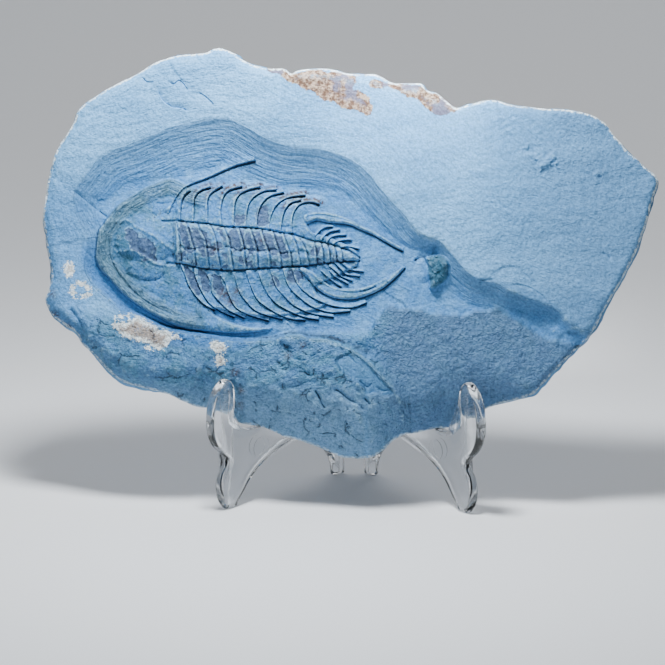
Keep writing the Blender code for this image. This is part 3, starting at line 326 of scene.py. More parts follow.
# The long spines of the tail: outline, sharp lower edge and the line along the middle
MACRO_SPINES = (
    (((-19.8, 134.2), (-17.6, 134.9), (-15.5, 135.6), (-12.3, 135.5), (-9.9, 134.7),
      (-5.3, 134.4), (0.3, 133.6), (4.9, 131.6), (10, 129.6), (16.2, 126.2), (20.7, 123.7),
      (24.3, 122.2), (24.1, 123), (17.3, 126.9), (11.7, 130.5), (6, 133.2), (2, 135.2),
      (-2.5, 137.2), (-8.2, 139), (-13.3, 139.5), (-17.8, 139.2), (-21.4, 137)),
     ((-19.3, 133.9), (-15.5, 135.6), (-9.9, 134.7), (-5.3, 134.4), (0.3, 133.6), (4.9, 131.6),
      (10, 129.6), (16.2, 126.2), (20.7, 123.7), (24.1, 122.2)),
     ((-19.3, 137), (-14, 137.8), (-8, 137), (0, 135), (8, 131.6), (14, 128.4))),
    (((-22.5, 112.6), (-20, 111), (-18, 108.6), (-16.2, 106.4), (-14.4, 104.8), (-12.7, 103.4),
      (-10.6, 102.2), (-8.4, 101.2), (-6, 100.5), (-3.6, 100.1), (0, 100), (4.8, 100.7),
      (9.6, 102.4), (12, 103.6), (15.1, 105.2), (17.9, 107.5), (20.2, 109.5), (22.4, 112),
      (24.9, 114.7), (23, 113.9), (17.3, 110.6), (12, 107.7), (8.4, 106.2), (4.8, 105.2),
      (0, 104.9), (-4.8, 105), (-9, 106.6), (-13, 109.4), (-16, 112), (-20, 113.6)),
     ((-22, 113.2), (-18, 108.6), (-14.4, 104.8), (-10.6, 102.2), (-6, 100.5), (0, 100),
      (4.8, 100.7), (9.6, 102.4), (15.1, 105.2), (20.2, 109.5), (24.8, 114.4)),
     ((-17, 110.4), (-12, 106.6), (-6, 103.8), (0, 102.8), (6, 103.2), (12, 105.4))),
)
MACRO_GROOVE = ((5, 103.4), (8.4, 104.1), (12, 105.8))

# The head: its rim's crest and inner furrow, cheeks, eye lobe and cheek spines. Bosses are a
# middle, a half size and a rise
HEAD_RIM = (
    (-103, 142), (-107.5, 137.5), (-111, 132), (-112.5, 126), (-112.6, 118), (-109.8, 111.8),
    (-106, 107), (-101, 102), (-95, 97.6), (-88, 93.6), (-80, 90.2), (-70, 88),
)
RIM_FURROW = (
    (-106, 133), (-108.5, 128), (-108.8, 124), (-108.5, 120), (-107.8, 117), (-106, 113),
    (-102.5, 108), (-99, 104), (-95, 100.5), (-90, 97), (-85, 94.5), (-78, 92.2),
)
EYE_LOBE = (
    (-101, 110), (-97, 109.3), (-94, 108.3), (-90, 107.5), (-86.5, 108), (-84.5, 109.5),
    (-83, 112), (-83, 114),
)
CHEEK_RIDGES = (
    ((-105.5, 120), (-97, 120.5), (-93, 118), (-89, 115.5), (-84, 114)),
    ((-104, 133.5), (-101, 134.5), (-97, 131.5), (-93, 129.5), (-88, 127), (-85, 124.5),
     (-81, 122), (-77.5, 118), (-76.3, 115)),
)
UPPER_CHEEK_SPINE = (
    (-82.4, 137.9), (-81.3, 140.9), (-79.8, 144.1), (-77.3, 147.9), (-73.2, 151.3),
    (-66.4, 154.1), (-62.5, 155.8), (-58, 158), (-52, 160.5), (-43.5, 162.7),
)
LOWER_CHEEK_SPINE = ((-84, 91.4), (-73, 88.5), (-62, 87.4), (-50, 86.2), (-40, 86), (-33.8, 86.4))
GLABELLA = ((-91.5, 124.5), (15.0, 9.0), 2.3)
EYE_BOSS = ((-92.5, 112.5), (9.5, 5.0), 0.9)
CHEEK_FLAKES = (
    ((-108, 137.2), (-103, 141), (-98, 144.6), (-92, 147.6), (-85, 150.4)),
    ((-104, 136.6), (-99.5, 140.4), (-95.6, 143), (-90, 145.4)),
    ((-90, 146.2), (-86.4, 145.2), (-82.6, 146.4), (-79.6, 145)),
    ((-89, 143.4), (-85, 142.6), (-80.6, 143.4)),
    ((-92.6, 139.2), (-88.4, 137.6), (-84.6, 134.6), (-80.8, 134)),
)

# Ridges and grooves of the animal: half width and rise
HEAD_RIM_RIDGE = (2.0, 1.1)
CHEEK_RIDGE = (0.8, 0.6)
CHEEK_SPINE_RIDGE = (1.6, 0.6)
THIN_GROOVE = (0.35, -0.4)
DEEP_GROOVE = (0.35, -0.5)

# Steps of the animal: drop, and the width over which the surface comes back up
RIM_STEP = (0.8, 3.2)
EYE_STEP = (0.7, 3.0)
FLAKE_STEP = (0.45, 2.2)
PLEURA_STEP = (0.5, 2.6)

# The long spines' rise and rounded side, and the pit at each plate's foot
MACRO_RISE = 1.3
MACRO_SIDE = 1.1
PLEURA_PIT = (0.9, 0.7)
PLEURA_PIT_DEPTH = 0.7

# The stone knob behind the tail: its outline, its middle, its height, how far in its rounded
# sides reach, and the low shelf at its left as middle, half size and rise
KNOB = (
    (34.6, 116), (34.4, 119), (38, 120.4), (41.6, 120.4), (44.6, 118.2), (45.5, 115.3),
    (45.2, 111.5), (44, 108.6), (41.5, 106.4), (38.6, 104.6), (36.2, 104.8), (36, 107.4),
    (35.2, 111),
)
KNOB_MIDDLE = (40.6, 112.6)
KNOB_RISE = 4.4
KNOB_SIDE = 3.2
KNOB_SHELF = ((33.4, 114), (4.2, 6.4), 1.2)

# Bumps on the flat upper right, and pits: place, size across and rise
BUMPS = (
    (66.4, 181.4, 2.2, 0.5), (69, 178.4, 1.8, 0.4), (71.5, 175.4, 2.0, 0.6), (73.4, 173.6, 1.6, 0.5),
    (75.3, 172, 2.0, 0.6), (77.4, 170.4, 1.6, 0.6), (79.1, 168.6, 2.2, 0.7), (80.4, 165.1, 2.4, 0.6),
    (84.6, 163.8, 2.4, 1.0), (87.6, 161.4, 3.4, 1.4), (90.6, 163.4, 2.2, 0.9), (85.2, 159.8, 2.0, 0.8),
    (92, 160.4, 1.8, 0.8), (111.4, 156.6, 2.8, 0.8),
)
PITS = (
    (111.6, 155.4, 1.3, 0.8), (64.1, 145.1, 0.9, 0.5), (66.3, 143.7, 1.0, 0.6),
    (68.5, 142, 1.2, 0.6), (71.6, 140.4, 1.2, 0.6), (72, 135.2, 1.3, 0.4), (75.4, 135, 0.9, 0.4),
    (112.7, 123, 1.1, 0.7), (113.8, 121.2, 1.2, 0.8), (116.4, 119.4, 1.3, 0.7),
    (48, 132.4, 0.8, 0.5), (-54.4, 181.6, 1.2, 0.7), (60.3, 104.4, 1.0, 0.4),
    (118, 178, 1.0, 0.3), (-11.3, 77, 0.9, 0.9), (77, 141.5, 0.9, 0.5), (80.7, 141.5, 0.9, 0.4),
    (79.4, 143, 0.8, 0.4), (46.4, 132.7, 1.0, 0.5), (25, 172, 1.5, 0.5), (26, 167.5, 1.6, 0.5),
    (-61.4, 198, 0.9, 0.4), (70.2, 141.2, 1.6, 0.5), (67.4, 142.6, 1.5, 0.5), (115.2, 120.2, 1.4, 0.6),
)

# Where the smooth carved floor ends and the rough flat at lower right begins
ROUGH_LIMIT = (
    (6.5, 84.7), (10.8, 88.6), (14, 94), (18, 98), (28, 97.6), (34, 96.4), (40, 95.2),
    (50.8, 94.6), (58, 97), (66, 97.5), (74, 94), (84, 87), (92, 84), (104, 81), (140, 80),
)

# Sharp steps where a layer of stone has come away: the line, how far the surface drops
# on the right of its run, and over what width it comes back up
SCARPS = (
    (((62, 109.9), (65.2, 112.8), (68.6, 114.8), (71.3, 115.4), (75.1, 115), (78.2, 112.8),
      (82, 109.7), (85.8, 106.3)), 0.45, 7.0),
    (((71.5, 106.8), (73.3, 107.3), (77.1, 107.2), (80.8, 106.2), (83.9, 104.6), (87.6, 101.8),
      (90.6, 98.8)), 0.55, 4.0),
    (((68, 112.4), (71.4, 112.8), (75, 112), (79, 109.4), (82.8, 106.8)), 0.3, 3.0),
    (((80, 101), (82.8, 99.7), (85.9, 98.8), (89, 96.9), (92.1, 95.7)), 0.7, 4.0),
    (((57.5, 109), (60.4, 109.2), (62.1, 109.5), (65.8, 109.8)), 0.6, 4.0),
    (((-85.5, 209), (-82.6, 206.2), (-79.7, 201.8), (-76.5, 198.1), (-73.7, 195.3)), 0.5, 3.0),
    (((-82.7, 197.7), (-80.5, 196.5), (-78.1, 198.1), (-75.9, 196.5), (-73.3, 192.8)), 0.8, 3.0),
    (((-69.6, 192.8), (-67, 191.7), (-64.8, 190), (-62.9, 188.2), (-61.3, 186.6)), 0.9, 3.0),
    (((-73.1, 182.8), (-77.2, 184.7), (-80.6, 185), (-84.4, 187.1), (-86.9, 190.2),
      (-88.9, 195.2)), 0.9, 3.0),
    (((-95.3, 200.2), (-92.7, 197.5), (-89, 197.2)), 0.7, 3.0),
    (((78.3, 130.5), (79.6, 128), (81.5, 126.7)), 0.3, 5.0),
    (((-30, 81.8), (-30.5, 79), (-29, 76.6), (-27.1, 74.6), (-25.2, 72.7), (-21.8, 71.3),
      (-18, 71.5), (-15.1, 73.2), (-10.8, 75.6))[::-1], 1.4, 4.5),
    (((-19, 81.4), (-21.4, 77.5), (-22.8, 75.6), (-25.7, 74.9), (-28.1, 76.1),
      (-30, 78.5)), 0.8, 3.0),
    (((9.7, 56), (12, 57.8), (13.7, 57.2), (17.7, 55.3), (21.6, 57.6))[::-1], 0.9, 4.0),
    (((24.4, 51), (27.3, 48.5), (32.4, 45.4)), 0.9, 4.0),
    (((99.1, 89.5), (104.7, 89.9)), 0.4, 2.0),
    (((-51.5, 72), (-50.8, 64.2), (-47.1, 54.5), (-44.2, 49.9), (-41.8, 45)), 1.0, 5.0),
    (((-38, 53), (-33, 55.4), (-28, 57.6)), 0.5, 3.0),
    (((-33, 62), (-24, 60.5), (-15, 63), (-12, 60)), 0.5, 3.0),
)

# The lip between the carved floor and the lump, with its drop and width
LIP_STEP = (0.8, 3.0)
UPPER_LIP = ((-8.7, 84.2), (-5.2, 81.4), (-2.3, 78), (2.4, 76.3))

# Low sharp ridges, with their half width and rise
RIDGE_SHAPE = (0.4, 0.35)
RIDGES = (
    ((-5.7, 72.3), (-2.3, 75.7), (2.2, 79.8), (6.2, 83.9), (10.1, 89.1)),
    ((-11.1, 74.8), (-6.5, 70.3), (1, 62.5)),
    ((-28, 89.5), (-24, 86), (-20, 83)),
    ((45.1, 106.3), (50.2, 103.2), (54.6, 100.1), (58.4, 98.6), (62.2, 96.4)),
    ((-60, 205.6), (-66, 205.8), (-69.8, 205.9)),
    ((97.8, 92), (95.6, 90), (93.4, 88), (91.6, 86.4)),
    ((91.6, 86.4), (95.6, 86.6), (99.6, 87.4), (102.8, 86.8), (106.6, 84.4)),
)

# The hollow at the end of the trail, and the flat facet past it, with their depths
HOLLOW = (
    (73.5, 97.1), (79.7, 99), (85.9, 98.5), (92.8, 96), (96.6, 92.4), (94.6, 89), (91.4, 86),
    (90, 82.6), (86.1, 82.1), (79.8, 86.5), (74.8, 91.4),
)
HOLLOW_DEPTH = 0.8
FACET = (
    (96.1, 86.3), (101, 86.9), (105.4, 84.3), (104.2, 81.1), (99.3, 77.9), (95.5, 77.9), (93, 80.4),
)
FACET_DEPTH = 0.45

# The smooth facet on the lump, and the patches of the face painted darker as shade, where the trail's
# slope and the facets face away from the light
LUMP_FACET = (
    (-5.4, 72.1), (-0.9, 75), (3.7, 75), (9.5, 71.1), (13.5, 66.6), (18.2, 61.6), (21.6, 57.6),
    (17.7, 55.6), (13.7, 57.2), (9.7, 56.2), (6.2, 60.8), (1, 64.7), (-3, 67.5),
)
SHADE_PATCHES = (
    ((47, 119), (50.2, 115.6), (55.6, 111), (62, 109.4), (72, 107), (84, 103), (93.6, 97.2),
     (97.6, 92.4), (93.6, 88.4), (90, 84), (84.6, 88.4), (76, 93.6), (68, 98), (60, 101.6),
     (53.4, 105.4), (47, 109.6)),
    FACET,
    LUMP_FACET,
)

# Open cracks, with how wide and deep each is
CRACKS = (
    (((-13.7, 57.8), (-12.2, 55.4), (-10.8, 52.1), (-9.8, 50.9)), 0.6, 1.6),
    (((-4.6, 58.8), (-1.2, 56.4), (2.2, 54), (6, 52.1), (7.4, 50.6)), 0.6, 1.2),
    (((8.4, 55), (10.3, 52.6)), 0.6, 1.4),
    (((17.5, 45.4), (18, 39.1)), 0.5, 1.0),
    (((1, 32.6), (1.7, 30.5)), 0.6, 1.2),
    (((2.9, 32.9), (4.1, 29.5)), 0.6, 1.2),
    (((-12.2, 38.6), (-12, 35.3)), 0.5, 1.0),
    (((-25.4, 42), (-25.2, 39.1)), 0.5, 0.8),
    (((24.2, 51.6), (26.6, 48.2), (25.7, 42)), 0.8, 1.4),
    (((-125.8, 93.5), (-123.5, 90.7), (-120.7, 86)), 1.0, 1.2),
    (((-135, 154), (-125, 147), (-117.5, 141), (-111, 136.2)), 0.32, 0.5),
    (((45.6, 107.4), (50, 104.6), (54, 101.8), (58, 99.8)), 0.35, 0.45),
    (((81.1, 89), (84.5, 84.6)), 0.5, 0.6),
    (((29.8, 117.8), (31.6, 118.9), (33.6, 119), (34.6, 117), (35.6, 114.4)), 0.5, 1.1),
    (((1.5, 75.4), (-1.6, 78.4), (-4.5, 82)), 0.5, 0.8),
    (((-3, 77), (0, 74.6), (4.6, 70.4)), 0.4, 0.6),
    (((6.2, 62.6), (9.6, 60.2), (11, 61.6)), 0.45, 0.8),
    (((13.2, 60.4), (17, 58.6), (19.6, 59.6)), 0.45, 0.8),
    (((-2.6, 47.6), (0.4, 44), (1.2, 41.4)), 0.45, 0.8),
    (((14.4, 53.6), (15.4, 50.6), (14.6, 48.4)), 0.5, 0.8),
    (((-20.6, 68.4), (-16, 64.8), (-13.4, 66)), 0.45, 0.7),
    (((-48, 60.4), (-43.6, 58), (-41, 58.6)), 0.5, 0.8),
)

# Brown weathered crust along the broken top edge
CRUST = (
    ((-39.1, 202.8), (-36, 203.9), (-30.3, 203.7), (-27, 201.6), (-17.4, 203.2), (-11.9, 202.2),
     (-2.4, 201.2), (2, 198.2), (-0.4, 193.6), (5.8, 193), (7.8, 189.6), (9.2, 182.8),
     (1.7, 184.5), (-5.1, 186.5), (-9.2, 188.9), (-12.6, 189.6), (-17.4, 193.6), (-22.8, 195),
     (-26.9, 197.4), (-33, 200.4)),
    ((7.1, 196.7), (9.2, 198.6), (15.3, 197.2), (26.2, 196.8), (30.4, 196.2), (34.3, 193.4),
     (39.8, 192.2), (44, 188.6), (47.6, 186), (39.8, 182.1), (34.3, 185.5), (30.2, 188.5),
     (23.4, 192.6), (15.3, 195), (9.8, 194.7)),
)

# Pale mineral patches at lower left, and a ring of the same with half its line's width
PALE_PATCHES = (
    ((-106.7, 87.4), (-99.4, 88.2), (-96.1, 90.7), (-89.4, 87.9), (-86, 85.7), (-79.3, 83.4),
     (-75.9, 80.6), (-80, 80.2), (-81.5, 77.4), (-84.9, 75.6), (-90.5, 78.4), (-97.2, 80.1),
     (-103.4, 82.9)),
    ((-105.8, 90.4), (-103, 92), (-101.6, 90.4), (-104, 89.6)),
    ((-101, 91), (-98.6, 92), (-98.2, 90.6), (-100, 90)),
    ((-128.6, 114.6), (-126, 115.2), (-124.2, 112), (-125, 108.6), (-127.6, 108), (-129, 111)),
    ((-62.4, 79), (-58, 79.6), (-54.4, 77), (-56.4, 74.6), (-60, 75.4)),
    ((-60, 72.8), (-56.8, 73.6), (-54.8, 70.6), (-57.6, 68.4)),
    ((-91, 77.2), (-88.6, 77.6), (-88.4, 75.6), (-90.6, 75.4)),
)
PALE_RING = (
    (-125.4, 102), (-124, 105), (-121, 105.4), (-118, 104), (-117.4, 101), (-120, 99.6),
    (-124, 99.8),
)
PALE_RING_HALF = 0.9

# Dark plum patches where the animal's outer skin has flaked
PLUM_PATCHES = (
    ((-101, 130.4), (-97.4, 129.2), (-94, 126.6), (-91, 125.6), (-88, 124), (-87.2, 120),
     (-86.8, 115.6), (-90.5, 116.9), (-96, 119.6), (-99.4, 123), (-101.6, 127)),
    ((-74.5, 113), (-71, 112), (-67.5, 104), (-68.4, 101), (-71.5, 104), (-73.6, 109)),
    ((-68, 112), (-64.5, 110.6), (-62.6, 104), (-64.8, 101), (-66.6, 104)),
    ((-62, 110), (-59, 109.6), (-56.4, 103), (-58.6, 100.4), (-60.8, 104)),
    ((-36, 111), (-31.5, 108), (-30.6, 104.6), (-33.6, 105)),
    ((-27.6, 111.6), (-22, 112), (-20.4, 109), (-24.6, 106.6), (-28, 108)),
    ((-54, 130.6), (-47.8, 130), (-47.2, 121), (-52.6, 121)),
    ((-47, 129), (-40.4, 129.4), (-37, 121), (-43.4, 121)),
    ((-38.8, 129), (-31, 128), (-28, 119), (-34.6, 119)),
    ((-71.5, 131), (-66, 130), (-60.6, 119), (-65, 118)),
    ((-76, 131), (-72, 131), (-69, 121), (-72.6, 119)),
    ((-42.6, 140), (-38.6, 142.4), (-36.8, 134), (-41, 132.4)),
    ((-51.4, 137.4), (-47.6, 137.4), (-47.2, 133), (-51.6, 133)),
)

# Masks that hold a distance into a patch in mm, and their value far from any patch
PATCH_MASKS = ("dark", "plum", "crust", "pale")
FAR_OUTSIDE = -9.0

# How rough the broken side and the back are, which the face's masks do not reach
BEYOND_FACE = {"rough": 0.55, "gritty": 0.7, "broken": 0.25}

# Iron stains: upper spines by number with a strength, and spots: place and size
IRON_SPINES = ((1, 0.7), (2, 0.8), (3, 1.0), (4, 0.9), (5, 0.7), (7, 1.0), (8, 1.0), (9, 1.0))
IRON_SPOTS = (
    (-56, 101, 3.4), (-53, 98, 3.2), (-50.5, 102.5, 2.4), (-60, 121, 2.2), (-39, 126, 1.8),
    (-134.5, 100.5, 2.4), (-133, 91, 2.2), (-127.6, 85.4, 2.0), (-50.4, 66, 2.6), (-47.6, 58, 2.2),
    (-48.6, 51.4, 2.2), (-20, 78.6, 2.0), (-26.4, 74, 2.2),
)

# The leg outline in stretches, from the front foot up, over and back to the rear foot. The
# mould mark is a place, a radius and how proud it stands
LEG_FRONT = (
    (72.0, 0.0), (74.6, 3.5), (76.0, 8.0), (76.0, 12.0), (74.3, 17.0), (71.7, 20.3),
    (70.6, 22.5), (73.0, 25.5), (77.0, 29.2), (80.0, 34.0), (81.3, 40.0), (80.9, 48.0),
    (79.6, 52.5), (77.0, 56.6), (74.0, 59.4), (71.2, 60.5), (68.4, 59.4), (66.6, 56.5),
    (66.0, 52.5), (66.3, 47.5), (67.0, 43.5), (66.3, 40.0), (63.8, 37.6), (59.5, 35.6),
    (54.8, 34.7),
)
LEG_HEAD = ((11.5, 125.4), (5.0, 127.0), (-2.0, 125.4), (-5.0, 120.0))
LEG_HEEL = ((-5.0, 6.0), (-4.8, 2.4), (-4.0, 0.0))
LEG_ARCH = (
    (1.0, 0.0), (1.6, 3.0), (3.6, 9.0), (7.5, 14.5), (11.0, 19.5), (14.5, 23.2),
    (19.5, 25.0), (26.0, 24.3), (34.5, 22.7), (44.0, 18.9), (51.0, 15.5), (57.0, 11.0),
    (61.0, 6.4), (64.6, 2.3), (66.5, 0.0),
)
LEDGE_Z = 34.8
FIN_TURN_Z = 119.0
LEG_STEP = 1.6
LEG_ROUND_STEPS = 5
LEG_SHARP_DEGREES = 32
MOULD_MARK = ((51.0, 25.0), 4.9, 0.22)

# The upright hinge: a rod moulded on the left leg, and clips on the right leg
ROD_RADIUS = 1.6
KNUCKLE_RADIUS = 3.1
CLIP_RADIUS = 3.4
CLIP_BORE = 1.9
HINGE_BOTTOM = 17.0
KNUCKLE_HEIGHT = 18.6
HINGE_SLOTS = 5
HINGE_PITCH = 19.0
ARM_REACH = 8.0
ARM_INNER = 1.2
ARM_OUTER = 3.0
ARC_STEPS = 36


# Lamps in metres, watts and degrees: name, place, point aimed at, size, power, colour and
# the angle over which the light fans out
COOL_WHITE = (0.95, 0.98, 1.0)
WHITE = (1.0, 1.0, 1.0)
LAMPS = (
    ("key", (-0.045, -0.075, 0.41), (0, 0.02, 0.13), (0.11, 0.07), 3.1, COOL_WHITE, 180),
    ("front", (-0.3, -1.5, 0.25), (0, 0, 0.1), (1.2, 0.5), 3.6, WHITE, 180),
    ("glow", (0.03, -0.25, 0.42), (0.028, 0.05, 0.187), (0.04, 0.04), 0.07, COOL_WHITE, 22),
    ("sky", (0, 0.9, 1.5), (0, 0.6, 0), (2.4, 1.2), 14.0, WHITE, 180),
)
SKY_STRENGTH = 0.16

# The floor in metres: its front, where it bends up, the bend, its top and half its width
FLOOR_FRONT = -2.2
FLOOR_BACK = 1.0
FLOOR_BEND = 0.6
FLOOR_TOP = 2.6
FLOOR_HALF = 3.0


# Paths and fields


def smooth_path(points, step, closed=False):
    """Points every few mm along a smooth curve through the given ones."""
    knots = np.asarray(points, float)
    if closed:
        knots = np.vstack([knots[-1:], knots, knots[:2]])
    else:
        knots = np.vstack([2 * knots[0] - knots[1], knots, 2 * knots[-1] - knots[-2]])
    made = []
    for a, b, c, d in zip(knots, knots[1:], knots[2:], knots[3:]):
        gap = [math.sqrt(max(np.linalg.norm((q - p)[:2]), 1e-6)) for p, q in ((a, b), (b, c), (c, d))]
        out = ((b - a) / gap[0] - (c - a) / (gap[0] + gap[1]) + (c - b) / gap[1]) * gap[1]
        into = ((c - b) / gap[1] - (d - b) / (gap[1] + gap[2]) + (d - c) / gap[2]) * gap[1]
        count = max(1, round(np.linalg.norm((c - b)[:2]) / step))
        t = (np.arange(count) / count)[:, None]
        made.append((2 * t**3 - 3 * t**2 + 1) * b + (t**3 - 2 * t**2 + t) * out
                    + (3 * t**2 - 2 * t**3) * c + (t**3 - t**2) * into)
    if not closed:
        made.append(knots[-2:-1])
    return np.vstack(made)


def lengths_along(path):
    """The distance travelled at each point of a path."""
    runs = np.linalg.norm(np.diff(path[:, :2], axis=0), axis=1)
    return np.concatenate([[0], np.cumsum(runs)])


def near_path(places, path, reach):
    """Which places lie within reach of a path, their distance, side and mm along it.

    Side is 1 to the left of the path's run and -1 to the right.
    """
    low = path[:, :2].min(axis=0) - reach
    high = path[:, :2].max(axis=0) + reach
    index = np.nonzero(((places >= low) & (places <= high)).all(axis=1))[0]
    starts = path[:-1, :2]
    runs = np.diff(path[:, :2], axis=0)
    squares = (runs**2).sum(axis=1)
    travelled = lengths_along(path)
    distance = np.zeros(len(index))
    side = np.ones(len(index))
    along = np.zeros(len(index))
    for first in range(0, len(index), PLACES_AT_ONCE):
        part = slice(first, first + PLACES_AT_ONCE)
        spots = places[index[part]]
        du = spots[:, 0, None] - starts[None, :, 0]
        dv = spots[:, 1, None] - starts[None, :, 1]
        share = np.clip((du * runs[:, 0] + dv * runs[:, 1]) / squares, 0, 1)
        gap = (du - share * runs[:, 0])**2 + (dv - share * runs[:, 1])**2
        best = gap.argmin(axis=1)
        rows = np.arange(len(best))
        distance[part] = np.sqrt(gap[rows, best])
        along[part] = travelled[best] + share[rows, best] * np.sqrt(squares[best])
        turn = runs[best, 0] * dv[rows, best] - runs[best, 1] * du[rows, best]
        side[part] = np.where(turn >= 0, 1.0, -1.0)
    return index, distance, side, along


def inside(places, path):
    """Whether each place lies inside a closed path."""
    crossed = np.zeros(len(places), bool)
    for (u0, v0), (u1, v1) in zip(path[:, :2], np.roll(path[:, :2], -1, axis=0)):
        if v0 == v1:
            continue
        spans = (v0 > places[:, 1]) != (v1 > places[:, 1])
        meets = u0 + (places[:, 1] - v0) * (u1 - u0) / (v1 - v0)
        crossed ^= spans & (places[:, 0] < meets)
    return crossed


def closed_ring(points, step):
    """A smooth closed path whose last point repeats its first."""
    ring = smooth_path(points, step, closed=True)
    return np.vstack([ring, ring[:1]])


def depth_inside(places, ring, reach=400):
    """Distance inside a closed ring, negative outside, and mm along it."""
    index, distance, side, along = near_path(places, ring, reach)
    depth = np.full(len(places), -float(reach))
    travelled = np.zeros(len(places))
    depth[index] = np.where(inside(places[index], ring[:-1]), distance, -distance)
    travelled[index] = along
    return depth, travelled


def v_along(line, u):
    """How far up the face a line that runs from left to right lies at each u."""
    return np.interp(u, *np.transpose(line))


def ease(x):
    """Smooth step from 0 to 1."""
    x = np.clip(x, 0, 1)
    return x * x * (3 - 2 * x)


def sheet(levels, places):
    """A thin plate bent through the given levels, read at the places."""
    table = np.asarray(levels, float)
    knots = table[:, :2] / 100

    def bend(r):
        return r * r * np.log(np.maximum(r, 1e-9))

    spread = bend(np.linalg.norm(knots[:, None] - knots[None], axis=2))
    plane = np.column_stack([np.ones(len(knots)), knots])
    system = np.block([[spread, plane], [plane.T, np.zeros((3, 3))]])
    weights = np.linalg.solve(system, np.concatenate([table[:, 2], np.zeros(3)]))
    spots = places / 100
    reach = bend(np.linalg.norm(spots[:, None] - knots[None], axis=2))
    return reach @ weights[:-3] + np.column_stack([np.ones(len(spots)), spots]) @ weights[-3:]


def wander(places, size, seed):
    """Smooth seeded unevenness between about -1 and 1, with bumps of the given size."""
    turns = np.random.default_rng(seed).uniform(0, 2 * math.pi, (WANDER_CELLS, WANDER_CELLS))
    grid = places / size
    cell = np.floor(grid).astype(int)
    part = grid - cell
    blend = part**3 * (part * (part * 6 - 15) + 10)
    total = 0
    for du in (0, 1):
        for dv in (0, 1):
            turn = turns[(cell[:, 0] + du) % WANDER_CELLS, (cell[:, 1] + dv) % WANDER_CELLS]
            slope = np.cos(turn) * (part[:, 0] - du) + np.sin(turn) * (part[:, 1] - dv)
            weight_u = blend[:, 0] if du else 1 - blend[:, 0]
            weight_v = blend[:, 1] if dv else 1 - blend[:, 1]
            total = total + slope * weight_u * weight_v
    return total * WANDER_GAIN


def rough_sum(places, sizes, seed):
    """Unevenness at several sizes, each weighted by its size."""
    total = sum(wander(places, size, seed + k) * size for k, size in enumerate(sizes))
    return total / sum(sizes)


# Relief of the stone's face


def add_spine(height, places, points, kind):
    """A plate with a crisp edge on the right of its run and a gap that widens to the tip."""
    low, high, base_fade, tip_fade, narrow, wide, deep = kind
    path = smooth_path(points, CURVE_STEP)
    index, distance, side, along = near_path(places, path, base_fade + 1)
    share = along / lengths_along(path)[-1]
    offset = distance * side
    uneven = 1 + 0.35 * wander(places[index], 3.5, SEED + 80)
    rise = (low + (high - low) * share) * uneven
    fade = base_fade + (tip_fade - base_fade) * share
    left = np.where(offset >= 0, np.clip(1 - offset / fade, 0, 1), 0)
    right = np.where(offset < 0, np.clip(1 + offset / 0.3, 0, 1), 0)
    half = (narrow + (wide - narrow) * share**2) / 2
    from_middle = np.abs(offset + half + 0.15) / (half + 0.15)
    gap = (0.25 + deep * share**1.6) * np.clip(1.25 * (1 - from_middle), 0, 1)
    ended = (share >= 1) | (share <= 0)
    beyond = np.where(ended, np.clip(1 - distance / 0.5, 0, 1), 1)
    height[index] += (rise * (left + right) - gap) * beyond


def add_scarp(height, places, points, drop, fade):
    """A sharp step down on the right of a line's run, coming back up over a width."""
    path = smooth_path(points, CURVE_STEP)
    index, distance, side, along = near_path(places, path, fade)
    share = along / lengths_along(path)[-1]
    offset = -distance * side
    cut = np.clip(offset / 0.4, 0, 1) * np.clip(1 - offset / fade, 0, 1)**1.4
    height[index] -= drop * cut * ease(share / 0.15) * ease((1 - share) / 0.15)


def add_line(height, places, points, half, rise):
    """A narrow ridge, or a groove where the rise is negative."""
    path = smooth_path(points, CURVE_STEP)
    index, distance, side, along = near_path(places, path, 2.2 * half)
    height[index] += rise * np.exp(-(distance / half)**2)


def add_plate(height, places, outline, rise, side):
    """A raised area with rounded sides, or a sunken one where the rise is negative."""
    depth, along = depth_inside(places, closed_ring(outline, CURVE_STEP), side + 1)
    height += rise * (1 - (1 - np.clip(depth / side, 0, 1))**2)


def add_dome(height, places, centre, half, rise, power):
    """A rounded boss on an oval base."""
    spread = (places - np.array(centre)) / np.array(half)
    height += rise * np.clip(1 - (spread**2).sum(axis=1), 0, 1)**power


def flakes(places, sizes, seed, level=0.04):
    """Thin plates with crisp edges, 1 where one lies and 0 where it has come away."""
    return ease((rough_sum(places, sizes, seed) - level) / 0.07)


def tail_rings():
    """The closer rings of the tail's axis, drawn between the two furrows."""
    rings = []
    for start in TAIL_RING_STARTS:
        top = float(v_along(UPPER_FURROW, start))
        foot = float(v_along(LOWER_FURROW, start + 1.6))
        rings.append(((start, top), (start + 1.4, (top + foot) / 2), (start + 1.6, foot)))
    return tuple(rings)


def on_axis(places):
    """Where each place lies across the axis, -1 to 1 between its furrows."""
    upper = v_along(UPPER_FURROW, places[:, 0])
    lower = v_along(LOWER_FURROW, places[:, 0])
    return (places[:, 1] - (upper + lower) / 2) / np.maximum((upper - lower) / 2, 0.5)


